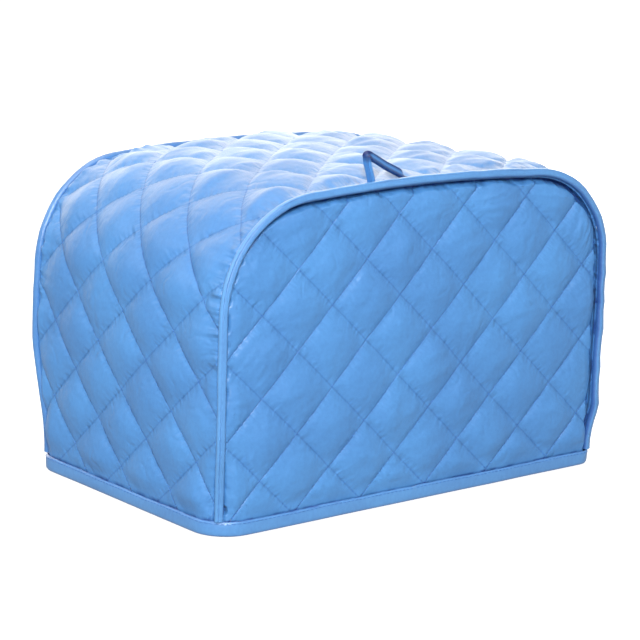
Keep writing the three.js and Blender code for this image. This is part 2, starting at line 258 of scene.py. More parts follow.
class Outline:
    """The piped seam's line in the front's plane, by length from the left hem to the right one."""

    def __init__(self, form: CoverForm, samples: int = 400) -> None:
        """Lays out the line.

        Args:
            form: the cover's sizes.
            samples: points on each of its stretches.
        """
        top_end = form.half_width - form.shoulder
        fall = form.top_crown * (top_end / form.half_width) ** 2
        eaves = form.height - form.top_crown
        share = np.linspace(0.0, 1.0, samples)[:, None]

        def shoulder(side: int, fullness: float) -> Array:
            """A shoulder's curve, from its side to the top."""
            start = np.array([side * form.half_width, form.straight_side])
            end = np.array([side * top_end, form.height - fall])
            corner = np.array([side * form.half_width, eaves])
            first = start + (corner - start) * fullness
            second = end + (corner - end) * fullness
            rest = 1.0 - share
            near_side = rest**3 * start + 3 * rest**2 * share * first
            return near_side + 3 * rest * share**2 * second + share**3 * end

        left = shoulder(-1, form.left_fullness)
        right = shoulder(1, form.right_fullness)[::-1]
        control = np.array([0.0, form.height + fall])
        rest = 1.0 - share
        top = rest**2 * left[-1] + 2 * rest * share * control + share**2 * right[0]
        left_side = np.array([-form.half_width, 0.0]) + (left[0] - [-form.half_width, 0.0]) * share
        right_side = right[-1] + (np.array([form.half_width, 0.0]) - right[-1]) * share
        self.points = np.vstack([left_side[:-1], left[:-1], top[:-1], right[:-1], right_side])
        steps = np.linalg.norm(np.diff(self.points, axis=0), axis=1)
        self.lengths = np.concatenate([[0.0], np.cumsum(steps)])
        self.total = float(self.lengths[-1])
        self.form = form
        self.grid = 1.5
        self.corner = np.array([-form.half_width - 6.0, -3.0])
        spans = np.array([2 * form.half_width + 12.0, form.height + 12.0])
        columns, rows = np.ceil(spans / self.grid).astype(int)
        across, up = np.meshgrid(np.arange(columns), np.arange(rows), indexing="ij")
        found = self.measure(
            self.corner[0] + across.ravel() * self.grid,
            self.corner[1] + up.ravel() * self.grid,
        )
        self.maps = [values.reshape(columns, rows) for values in found]

    def at(self, length: Array) -> tuple[Array, Array, Array, Array]:
        """The line's places and outward directions.

        Args:
            length: lengths from the left hem.

        Returns:
            x and z of the places, and x and z of the outward directions.
        """
        reach = 0.5
        spots = (length, length - reach, length + reach)
        (x, x_before, x_after), (z, z_before, z_after) = (
            [np.interp(np.clip(spot, 0.0, self.total), self.lengths, values) for spot in spots]
            for values in self.points.T
        )
        run_x = x_after - x_before
        run_z = z_after - z_before
        size = np.hypot(run_x, run_z)
        return x, z, -run_z / size, run_x / size

    def nearest(self, x: Array, z: Array) -> tuple[Array, Array]:
        """The nearest place on the line, read from maps of the whole panel.

        Args:
            x: places across.
            z: places up.

        Returns:
            The distance to the line, and the length along it of the nearest place.
        """
        columns, rows = self.maps[0].shape
        across = np.clip((x - self.corner[0]) / self.grid, 0, columns - 1.001)
        up = np.clip((z - self.corner[1]) / self.grid, 0, rows - 1.001)
        column = across.astype(int)
        row = up.astype(int)
        a = across - column
        b = up - row
        distance, length = (
            (values[column, row] * (1 - a) + values[column + 1, row] * a) * (1 - b)
            + (values[column, row + 1] * (1 - a) + values[column + 1, row + 1] * a) * b
            for values in self.maps
        )
        return distance, length

    def measure(self, x: Array, z: Array) -> tuple[Array, Array]:
        """The nearest place on the line, by trying every one.

        Args:
            x: places across.
            z: places up.

        Returns:
            The distance to the line, and the length along it of the nearest place.
        """
        samples = np.linspace(0.0, self.total, 1200)
        line_x, line_z, _, _ = self.at(samples)
        distance = np.empty(x.size)
        length = np.empty(x.size)
        for part in np.array_split(np.arange(x.size), max(1, x.size // 4000)):
            gap = np.hypot(x[part, None] - line_x, z[part, None] - line_z)
            best = np.argmin(gap, axis=1)
            distance[part] = gap[np.arange(part.size), best]
            length[part] = samples[best]
        return distance, length

    def encloses(self, x: Array, z: Array) -> Array:
        """Whether places lie under the line."""
        over = np.interp(x, self.points[:, 0], self.points[:, 1])
        return (np.abs(x) < self.form.half_width) & (z < over) & (z > 0.0)


@dataclass(frozen=True)
class Quilting:
    """Diamond quilting of a flat cloth: half diagonals, one stitched crossing and the pattern's turn."""

    half_along: float
    half_up: float
    crossing: tuple[float, float]
    turn: float
    about: tuple[float, float]
    seed: float
    pull: float = 4.6
    wander: float = 0.012

    @property
    def pitch(self) -> float:
        """Length of a diamond's side."""
        return math.hypot(self.half_along, self.half_up)

    def place(self, u: Array, v: Array) -> tuple[Array, Array]:
        """Flat cloth coordinates of a place given in diamonds along the two stitching directions."""
        along = self.crossing[0] + (u - v) * self.half_along - self.about[0]
        up = self.crossing[1] + (u + v) * self.half_up - self.about[1]
        cos = math.cos(self.turn)
        sin = math.sin(self.turn)
        return self.about[0] + along * cos - up * sin, self.about[1] + along * sin + up * cos

    def drift(self, x: Array, y: Array) -> tuple[Array, Array]:
        """How far the hand-guided stitching strays from the even pattern, in diamonds."""
        first = self.wander * soft_noise(x / 55.0, y / 55.0, self.seed + 1)
        second = self.wander * soft_noise(x / 55.0, y / 55.0, self.seed + 2)
        return first, second

    def coordinates(self, x: Array, y: Array) -> tuple[Array, Array]:
        """How many diamonds a flat place lies along the two stitching directions."""
        cos = math.cos(self.turn)
        sin = math.sin(self.turn)
        dx = x - self.about[0]
        dy = y - self.about[1]
        along = (self.about[0] + dx * cos + dy * sin - self.crossing[0]) / self.half_along
        up = (self.about[1] - dx * sin + dy * cos - self.crossing[1]) / self.half_up
        first, second = self.drift(x, y)
        return (up + along) / 2 + first, (up - along) / 2 + second

    def stitch_ends(
        self,
        low: Array,
        high: Array,
        length: float,
        step: float,
    ) -> tuple[Array, Array]:
        """Both ends of every stitch in the box from low to high.

        Args:
            low: the box's lowest flat corner.
            high: its highest.
            length: a stitch's length.
            step: from one stitch's start to the next.

        Returns:
            Two arrays of flat places, a start and an end for each stitch.
        """
        corner_x = np.array([low[0], high[0], low[0], high[0]])
        corner_y = np.array([low[1], low[1], high[1], high[1]])
        us, vs = self.coordinates(corner_x, corner_y)
        starts = []
        ends = []
        for family, (across, along) in enumerate(((us, vs), (vs, us))):
            lines = np.arange(math.floor(across.min()), math.ceil(across.max()) + 1)
            marks = np.arange(math.floor(along.min()), math.ceil(along.max()), step / self.pitch)
            grids = np.meshgrid(lines.astype(float), marks, indexing="ij")
            line, mark = (grid.ravel() for grid in grids)
            mark = mark + 0.5 * step / self.pitch * lattice(line, line * 0.0, self.seed + 3)
            for found, shift in ((starts, 0.0), (ends, length / self.pitch)):
                pair = (line, mark + shift) if family == 0 else (mark + shift, line)
                x, y = self.place(*pair)
                first, second = self.drift(x, y)
                found.append(np.column_stack(self.place(pair[0] - first, pair[1] - second)))
        return np.vstack(starts), np.vstack(ends)

    def relief(self, x: Array, y: Array) -> Array:
        """How full the wadding stands at a flat place, from 0 on a stitched line to about 1."""
        u, v = self.coordinates(x, y)
        sin_u = np.abs(np.sin(math.pi * u))
        sin_v = np.abs(np.sin(math.pi * v))
        side = self.pitch / math.pi
        tight = (1.0 - np.exp(-sin_u * side / self.pull)) * (1.0 - np.exp(-sin_v * side / self.pull))
        fullness = 0.93 + 0.14 * lattice(np.floor(u), np.floor(v), self.seed)
        return fullness * (0.5 * tight + 0.5 * np.sqrt(sin_u * sin_v))

    def roundness(self, x: Array, y: Array) -> Array:
        """A rounder fullness, from 0 on a stitched line to 1 in a diamond's middle."""
        u, v = self.coordinates(x, y)
        return np.abs(np.sin(math.pi * u) * np.sin(math.pi * v)) ** 0.75

    def puckers(self, x: Array, y: Array) -> Array:
        """Small tucks that run into each diamond from its stitched sides, from -1 to 1."""
        u, v = self.coordinates(x, y)
        total = np.zeros_like(x)
        for across, along, seed in ((u, v, 5), (v, u, 9)):
            away = np.abs(np.sin(math.pi * across)) * self.pitch / math.pi
            run = along * self.pitch
            reach = 0.55 + 0.45 * soft_noise(run / 13.0, np.round(across), self.seed + seed + 2)
            wave = soft_noise(run / (3.4 + away * 0.22), np.floor(across) * 3.0, self.seed + seed)
            total += wave * reach * np.exp(-away / 5.5) * smoothstep(away, 0.0, 2.4)
        return total


@dataclass(frozen=True)
class Bulge:
    """A soft hill or hollow where the cloth stands uneven: flat place, reach and height."""

    at: tuple[float, float]
    reach: tuple[float, float]
    height: float

    def lift(self, x: Array, y: Array) -> Array:
        """Its height at flat places."""
        dx = (x - self.at[0]) / self.reach[0]
        dy = (y - self.at[1]) / self.reach[1]
        return self.height * np.exp(-(dx**2 + dy**2))


def graded(share: Array, crowding: float) -> Array:
    """Moves evenly spread shares from 0 to 1 closer together near both ends."""
    return share - crowding * np.sin(2 * math.pi * share) / (2 * math.pi)


def deselect_all() -> None:
    """Leaves nothing selected."""
    bpy.ops.object.select_all(action="DESELECT")


def write_points(piece: bpy.types.Object, points: Array) -> None:
    """Gives a piece's vertices their places, in millimetres."""
    piece.data.vertices.foreach_set("co", (points * MM).astype(np.float32).ravel())
    piece.data.update()


def read_points(piece: bpy.types.Object) -> Array:
    """A piece's vertices, one row each."""
    found = np.empty(len(piece.data.vertices) * 3, dtype=np.float32)
    piece.data.vertices.foreach_get("co", found)
    return found.reshape(-1, 3).astype(float)


def write_layer(piece: bpy.types.Object, name: str, values: Array) -> None:
    """Writes a UV map from a pair of values for each vertex."""
    layers = piece.data.uv_layers
    layer = layers.get(name) or layers.new(name=name)
    corners = np.empty(len(piece.data.loops), dtype=np.int32)
    piece.data.loops.foreach_get("vertex_index", corners)
    layer.data.foreach_set("uv", values[corners].astype(np.float32).ravel())


def write_attribute(piece: bpy.types.Object, name: str, values: Array) -> None:
    """Writes one number for each vertex as a named attribute."""
    attribute = piece.data.attributes.new(name=name, type="FLOAT", domain="POINT")
    attribute.data.foreach_set("value", values.astype(np.float32))


def thin_grid(name: str, columns: int, rows: int) -> tuple[bpy.types.Object, Array, Array, Array]:
    """A closed two-layer sheet whose points are still to be placed.

    Args:
        name: the piece's name.
        columns: faces along the first direction.
        rows: faces along the second direction.

    Returns:
        The piece, each vertex's shares along both directions, and whether it is on the outer layer.
    """
    deselect_all()
    bpy.ops.mesh.primitive_grid_add(x_subdivisions=columns, y_subdivisions=rows, size=1.0)
    piece = bpy.context.object
    piece.name = name
    piece.data.name = name
    solidify = piece.modifiers.new("thickness", "SOLIDIFY")
    solidify.thickness = 1.0
    solidify.offset = -1.0
    bpy.ops.object.modifier_apply(modifier=solidify.name)
    points = read_points(piece)
    return piece, points[:, 0] + 0.5, points[:, 1] + 0.5, points[:, 2] > -0.5


def cut_lengthwise(piece: bpy.types.Object, stretches: int) -> None:
    """Divides a cylinder's long edges into at most 101 stretches, because Blender cuts up to 100 times."""
    mesh = piece.data
    bpy.ops.object.mode_set(mode="EDIT")
    bpy.ops.mesh.select_mode(type="EDGE")
    bpy.ops.mesh.select_all(action="DESELECT")
    bpy.ops.object.mode_set(mode="OBJECT")
    for edge in mesh.edges:
        low, high = (mesh.vertices[index].co.z for index in edge.vertices)
        edge.select = abs(low - high) > 0.5
    bpy.ops.object.mode_set(mode="EDIT")
    bpy.ops.mesh.subdivide(number_cuts=stretches - 1)
    bpy.ops.object.mode_set(mode="OBJECT")


def long_tube(name: str, sides: int, rings: int) -> tuple[bpy.types.Object, Array, Array]:
    """A capped tube whose points are still to be laid along a path.

    Args:
        name: the piece's name.
        sides: points round the section.
        rings: stretches along the path.

    Returns:
        The piece, each vertex's angle round the section, and its share of the path.
    """
    deselect_all()
    bpy.ops.mesh.primitive_cylinder_add(vertices=sides, radius=1.0, depth=1.0, end_fill_type="NGON")
    piece = bpy.context.object
    piece.name = name
    piece.data.name = name
    cut_lengthwise(piece, rings)
    points = read_points(piece)
    return piece, np.arctan2(points[:, 1], points[:, 0]), points[:, 2] + 0.5


def dress(piece: bpy.types.Object, material: bpy.types.Material, crisp: float = 50.0) -> None:
    """Gives a piece its finish and smooth shading that breaks at angles over crisp degrees."""
    piece.data.materials.clear()
    piece.data.materials.append(material)
    deselect_all()
    piece.select_set(True)
    bpy.context.view_layer.objects.active = piece
    bpy.ops.object.shade_smooth_by_angle(angle=math.radians(crisp))


class NodeTools:
    """Short ways to lay and link shader nodes in one node tree."""

    def __init__(self, tree: bpy.types.NodeTree) -> None:
        """Takes the tree that the nodes go into."""
        self.tree = tree

    def add(self, kind: str, **settings: object) -> bpy.types.Node:
        """Adds a node of a kind with some of its settings."""
        node = self.tree.nodes.new(kind)
        for name, value in settings.items():
            setattr(node, name, value)
        return node

    def feed(self, target: Socket, source: object) -> None:
        """Links a socket into another, or sets the other's value."""
        if isinstance(source, Socket):
            self.tree.links.new(source, target)
        else:
            target.default_value = source

    def math(self, operation: str, *values: object) -> Socket:
        """The result of a Math node."""
        node = self.add("ShaderNodeMath", operation=operation)
        for socket, value in zip(node.inputs, values):
            self.feed(socket, value)
        return node.outputs[0]

    def ramp(self, value: object, low: float, high: float, start: float, end: float) -> Socket:
        """Maps a value from low..high smoothly to start..end."""
        node = self.add("ShaderNodeMapRange", interpolation_type="SMOOTHSTEP")
        for socket, part in zip(node.inputs, (value, low, high, start, end)):
            self.feed(socket, part)
        return node.outputs[0]

    def noise(self, place: object, scale: float, detail: float, roughness: float = 0.5) -> Socket:
        """Noise at a place."""
        node = self.add("ShaderNodeTexNoise")
        self.feed(node.inputs["Vector"], place)
        self.feed(node.inputs["Scale"], scale)
        self.feed(node.inputs["Detail"], detail)
        self.feed(node.inputs["Roughness"], roughness)
        return node.outputs["Fac"]

    def attribute(self, name: str) -> Socket:
        """A named number of the mesh."""
        return self.add("ShaderNodeAttribute", attribute_name=name).outputs["Fac"]

    def cloth_map(self, name: str) -> Socket:
        """A place in one of the cloth's maps."""
        return self.add("ShaderNodeUVMap", uv_map=name).outputs[0]

    def split(self, place: object) -> bpy.types.NodeOutputs:
        """A place's separate coordinates."""
        node = self.add("ShaderNodeSeparateXYZ")
        self.feed(node.inputs[0], place)
        return node.outputs

    def blend(self, share: object, first: object, second: object) -> Socket:
        """A colour between two."""
        node = self.add("ShaderNodeMix", data_type="RGBA")
        self.feed(node.inputs["Factor"], share)
        for socket, colour in ((node.inputs[6], first), (node.inputs[7], second)):
            self.feed(socket, (*colour, 1.0) if isinstance(colour, tuple) else colour)
        return node.outputs[2]


def make_weave_group() -> bpy.types.NodeTree:
    """A node group for fine woven threads on flat cloth coordinates in metres.

    Returns:
        The group, with inputs Place and Threads (per metre) and outputs Height and Tone.
    """
    group = bpy.data.node_groups.new("woven_threads", "ShaderNodeTree")
    group.interface.new_socket("Place", in_out="INPUT", socket_type="NodeSocketVector")
    group.interface.new_socket("Threads", in_out="INPUT", socket_type="NodeSocketFloat")
    group.interface.new_socket("Height", in_out="OUTPUT", socket_type="NodeSocketFloat")
    group.interface.new_socket("Tone", in_out="OUTPUT", socket_type="NodeSocketFloat")
    tools = NodeTools(group)
    entry = tools.add("NodeGroupInput")
    leave = tools.add("NodeGroupOutput")
    place = tools.split(entry.outputs["Place"])
    turn = tools.math("MULTIPLY", entry.outputs["Threads"], 2 * math.pi)
    warp, weft = (tools.math("SINE", tools.math("MULTIPLY", place[axis], turn)) for axis in "XY")
    threads = tools.math("MULTIPLY", warp, weft)
    slub = tools.noise(entry.outputs["Place"], 420.0, 3.0, 0.6)
    height = tools.math("ADD", tools.math("MULTIPLY", threads, 0.35), slub)
    tools.feed(leave.inputs["Height"], height)
    tools.feed(leave.inputs["Tone"], slub)
    return group


@dataclass(frozen=True)
class SatinFinish:
    """Satin-faced polyester: its lit colour, its colour for painted shade and random tone, gloss, weave
    and fine folds.

    Threads are counted to the metre, and the weave's relief and the folds' heights are in millimetres.
    """

    name: str
    colour: Colour
    tone_and_shade_colour: Colour
    roughness: float = 0.42
    shine: float = 0.5
    sheen: float = 0.02
    sheen_roughness: float = 0.35
    threads: float = 1500.0
    relief: float = 0.05
    quilted: bool = False
    line_painted_shade: float = 0.34
    line_depth: float = 0.18
    dents: float = 0.9
    crinkles: float = 0.18
    gathers: float = 2.9
    gather_stretch: tuple[float, float, float] = (230.0, 60.0, 1.0)
    tucks: float = 0.9

    def make(self, weave: bpy.types.NodeTree) -> bpy.types.Material:
        """Builds the material.

        Args:
            weave: the shared woven-thread group.

        Returns:
            The material.
        """
        material = bpy.data.materials.new(self.name)
        material.use_nodes = True
        tools = NodeTools(material.node_tree)
        shader = material.node_tree.nodes["Principled BSDF"]
        space = tools.add("ShaderNodeTexCoord").outputs["Object"]
        cloth = tools.add("ShaderNodeGroup", node_tree=weave)
        tools.feed(cloth.inputs["Place"], tools.cloth_map("UVMap"))
        tools.feed(cloth.inputs["Threads"], self.threads)
        broad = tools.noise(space, 14.0, 3.0)
        # Painted shade from a per-vertex attribute: grooves, joins and shaded sides darken towards the
        # darker colour; the noise and weave tone added to it are the cloth's own uneven tone.
        painted_shade = tools.math("MULTIPLY", tools.attribute("painted_shade"), 0.8)
        shade = tools.math("ADD", tools.ramp(broad, 0.3, 0.7, 0.0, 0.16), painted_shade)
        shade = tools.math("ADD", shade, tools.ramp(cloth.outputs["Tone"], 0.3, 0.7, 0.0, 0.1))
        height = tools.math("MULTIPLY", cloth.outputs["Height"], self.relief)
        if self.quilted:
            # Painted shade along the stitched valleys, which the same mask also sinks in the bump.
            line = self.stitch_line(tools)
            shade = tools.math("ADD", shade, tools.math("MULTIPLY", line, self.line_painted_shade))
            height = tools.math("SUBTRACT", height, tools.math("MULTIPLY", line, self.line_depth))
            height = tools.math("ADD", height, self.folds(tools))
        shade = tools.math("MINIMUM", shade, 1.0)
        tools.feed(shader.inputs["Base Color"], tools.blend(shade, self.colour, self.tone_and_shade_colour))
        gloss = tools.ramp(broad, 0.2, 0.8, self.roughness - 0.04, self.roughness + 0.05)
        tools.feed(shader.inputs["Roughness"], gloss)
        bump = tools.add("ShaderNodeBump")
        bump.inputs["Distance"].default_value = MM
        bump.inputs["Strength"].default_value = 1.0
        tools.feed(bump.inputs["Height"], height)
        tools.feed(shader.inputs["Normal"], bump.outputs["Normal"])
        shader.inputs["Sheen Weight"].default_value = self.sheen
        shader.inputs["Sheen Roughness"].default_value = self.sheen_roughness
        shader.inputs["Specular IOR Level"].default_value = self.shine
        return material

    def folds(self, tools: NodeTools) -> Socket:
        """Height of the satin's fine folds: dents, crinkles, a seam's gathers and the quilting's tucks.

        Args:
            tools: the material's nodes.

        Returns:
            The height in millimetres.
        """
        flat = tools.cloth_map("UVMap")
        dents = tools.math("MULTIPLY", tools.noise(flat, 75.0, 2.0), self.dents)
        ridge = tools.math("ABSOLUTE", tools.math("SUBTRACT", tools.noise(flat, 70.0, 0.6), 0.5))
        patch = tools.ramp(tools.noise(flat, 48.0, 1.0), 0.46, 0.62, 0.0, self.crinkles)
        crinkles = tools.math("MULTIPLY", tools.ramp(ridge, 0.0, 0.09, 1.0, 0.0), patch)
        seam = tools.cloth_map("Seam")
        stretched = tools.add("ShaderNodeVectorMath", operation="MULTIPLY")
        tools.feed(stretched.inputs[0], seam)
        stretched.inputs[1].default_value = self.gather_stretch
        near = tools.ramp(tools.split(seam)["Y"], 0.0025, 0.015, self.gathers, 0.0)
        strength = tools.math("MULTIPLY", near, tools.attribute("gather"))
        gathers = tools.math("MULTIPLY", tools.noise(stretched.outputs[0], 1.0, 1.5), strength)
        total = tools.math("ADD", tools.math("SUBTRACT", dents, crinkles), gathers)
        diamonds = tools.split(tools.cloth_map("Quilt"))
        for across, along in (("X", "Y"), ("Y", "X")):
            place = tools.add("ShaderNodeCombineXYZ")
            tools.feed(place.inputs[0], tools.math("MULTIPLY", diamonds[along], 11.0))
            tools.feed(place.inputs[1], tools.math("MULTIPLY", diamonds[across], 2.4))
            near = tools.ramp(tools.math("PINGPONG", diamonds[across], 0.5), 0.0, 0.2, self.tucks, 0.0)
            tucks = tools.math("MULTIPLY", tools.noise(place.outputs[0], 1.0, 1.0), near)
            total = tools.math("ADD", total, tucks)
        return total

    def stitch_line(self, tools: NodeTools) -> Socket:
        """A mask along the stitched lines, from the cloth's diamond coordinates, for their painted shade
        and dip.
        """
        diamonds = tools.split(tools.cloth_map("Quilt"))
        falling = tools.ramp(tools.math("PINGPONG", diamonds["X"], 0.5), 0.003, 0.026, 0.55, 0.0)
        rising = tools.ramp(tools.math("PINGPONG", diamonds["Y"], 0.5), 0.003, 0.02, 1.0, 0.0)
        return tools.math("MULTIPLY", tools.math("MAXIMUM", falling, rising), tools.attribute("line"))


@dataclass
class Thread:
    """Sewing thread: the size of one stitch, which is modelled once and copied along the lines."""

    material: bpy.types.Material
    radius: float = 0.2
    length: float = 2.2
    step: float = 3.0
    sink: float = 0.1
    sides: int = 5

    def model(self) -> tuple[Array, list[tuple[int, ...]]]:
        """One stitch along X, thick in the middle and sunk at both ends.

        Returns:
            Its vertices and faces.
        """
        deselect_all()
        bpy.ops.mesh.primitive_cylinder_add(vertices=self.sides, radius=self.radius, depth=1.0)
        stitch = bpy.context.object
        cut_lengthwise(stitch, 3)
        points = read_points(stitch)
        along = points[:, 2]
        bend = 1.0 - (2.0 * along) ** 2
        taper = 0.45 + 0.55 * bend
        height = points[:, 1] * taper + self.radius * 1.2 * bend - self.sink
        placed = np.column_stack([along, points[:, 0] * taper, height])
        faces = [tuple(face.vertices) for face in stitch.data.polygons]
        bpy.data.objects.remove(stitch)
        return placed, faces

    def sew(self, name: str, starts: Array, ends: Array, normals: Array) -> bpy.types.Object:
        """Copies the stitch to every place and joins the copies in one piece.

        Args:
            name: the piece's name.
            starts: where each stitch starts, in millimetres.
            ends: where it ends.
            normals: the cloth's outward direction there.

        Returns:
            The piece.
        """
        points, faces = self.model()
        run = ends - starts
        up = normals / np.linalg.norm(normals, axis=1, keepdims=True)
        side = np.cross(up, run)
        side /= np.linalg.norm(side, axis=1, keepdims=True)
        middle = (starts + ends) / 2
        placed = (
            middle[:, None, :]
            + run[:, None, :] * points[None, :, 0:1]
            + side[:, None, :] * points[None, :, 1:2]
            + up[:, None, :] * points[None, :, 2:3]
        ).reshape(-1, 3)
        firsts = range(0, len(placed), len(points))
        copies = [tuple(first + index for index in face) for first in firsts for face in faces]
        mesh = bpy.data.meshes.new(name)
        mesh.from_pydata((placed * MM).tolist(), [], copies)
        piece = bpy.data.objects.new(name, mesh)
        bpy.context.scene.collection.objects.link(piece)
        dress(piece, self.material, 80.0)
        return piece


class QuiltedCloth:
    """A quilted sheet: it lays a flat cloth's outer and inner faces out in space.

    A panel says how its flat cloth is laid out, how both faces are lifted together and where each place
    goes.
    """

    name: str
    columns: int
    rows: int
    form: CoverForm
    outline: Outline
    quilting: Quilting

    def flat(self, s: Array, t: Array) -> tuple[Array, Array]:
        """Flat places from shares along both directions."""
        raise NotImplementedError

    def lift(self, x: Array, y: Array) -> Array:
        """How far both faces are lifted or pushed in together."""
        raise NotImplementedError

    def fade(self, x: Array, y: Array) -> Array:
        """The quilting's share of its full height, low near seams."""
        raise NotImplementedError

    def wrinkles(self, x: Array, y: Array) -> Array:
        """Height of the small folds on the outer face."""
        raise NotImplementedError

    def painted_shade(self, x: Array, y: Array) -> Array:
        """How much painted shade a place gets in grooves and joins, from 0 to 1."""
        raise NotImplementedError

    def place(self, x: Array, y: Array, height: Array) -> Array:
        """Where a flat place goes in space, at a height over the cloth's outer face."""
        raise NotImplementedError

    def along_seam(self, x: Array, y: Array) -> tuple[Array, Array, Array]:
        """Length along the nearest seam, distance from it, and how strongly it gathers the cloth."""
        raise NotImplementedError

    def hem_shade(self, above: Array, along: Array) -> Array:
        """Painted shade in dark dashes just above the binding.

        Args:
            above: height over the binding's upper edge.
            along: places along the edge.

        Returns:
            The shade, from 0 to 1.
        """
        dashes = edge_dashes(along, 4.5, self.quilting.seed + 13, -0.3, 0.3)
        return (0.3 + 0.5 * dashes) * (1.0 - smoothstep(above, 0.1, 1.3))

    def line_strength(self, x: Array) -> Array:
        """How strongly the stitched lines' painted shade and dip show, from 0 to 1."""
        return np.ones_like(x)

    def outer(self, x: Array, y: Array) -> Array:
        """Height of the outer face."""
        form = self.form
        stiff = form.outer_puff * self.quilting.relief(x, y)
        puff = stiff + form.soft_puff * self.quilting.roundness(x, y)
        return self.lift(x, y) + (puff - form.sink) * self.fade(x, y) + self.wrinkles(x, y)

    def inner(self, x: Array, y: Array) -> Array:
        """Height of the inner face."""
        form = self.form
        puff = form.inner_puff * self.quilting.relief(x, y) + form.sink
        return self.lift(x, y) - form.cloth - puff * self.fade(x, y)

    def build(self, material: bpy.types.Material) -> bpy.types.Object:
        """Builds the sheet.

        Args:
            material: its finish.

        Returns:
            The piece.
        """
        piece, s, t, outside = thin_grid(self.name, self.columns, self.rows)
        x, y = self.flat(s, t)
        height = np.where(outside, self.outer(x, y), self.inner(x, y))
        write_points(piece, self.place(x, y, height))
        write_layer(piece, "UVMap", np.column_stack([x, y]) * MM)
        write_layer(piece, "Quilt", np.column_stack(self.quilting.coordinates(x, y)))
        write_attribute(piece, "painted_shade", self.painted_shade(x, y))
        length, away, strength = self.along_seam(x, y)
        write_layer(piece, "Seam", np.column_stack([length, away]) * MM)
        write_attribute(piece, "gather", strength)
        write_attribute(piece, "line", self.line_strength(x))
        dress(piece, material)
        LOG.info("%s: %d faces", self.name, len(piece.data.polygons))
        return piece

    def on_cloth(self, x: Array, y: Array) -> Array:
        """Which flat places a stitch may stand on."""
        raise NotImplementedError

    def box(self) -> tuple[Array, Array]:
        """The flat cloth's lowest and highest corners."""
        raise NotImplementedError

    def stitch(self, thread: Thread) -> bpy.types.Object:
        """Sews the quilting's stitches on the outer face.

        Args:
            thread: the thread.

        Returns:
            The stitches, as one piece.
        """
        starts, ends = self.quilting.stitch_ends(*self.box(), thread.length, thread.step)
        kept = self.on_cloth(*starts.T) & self.on_cloth(*ends.T)
        starts = starts[kept]
        ends = ends[kept]
        start_height = self.outer(*starts.T)
        first = self.place(*starts.T, start_height)
        last = self.place(*ends.T, self.outer(*ends.T))
        normals = self.place(*starts.T, start_height + 1.0) - first
        piece = thread.sew(f"{self.name}_stitches", first, last, normals)
        LOG.info("%s: %d stitches", piece.name, len(starts))
        return piece


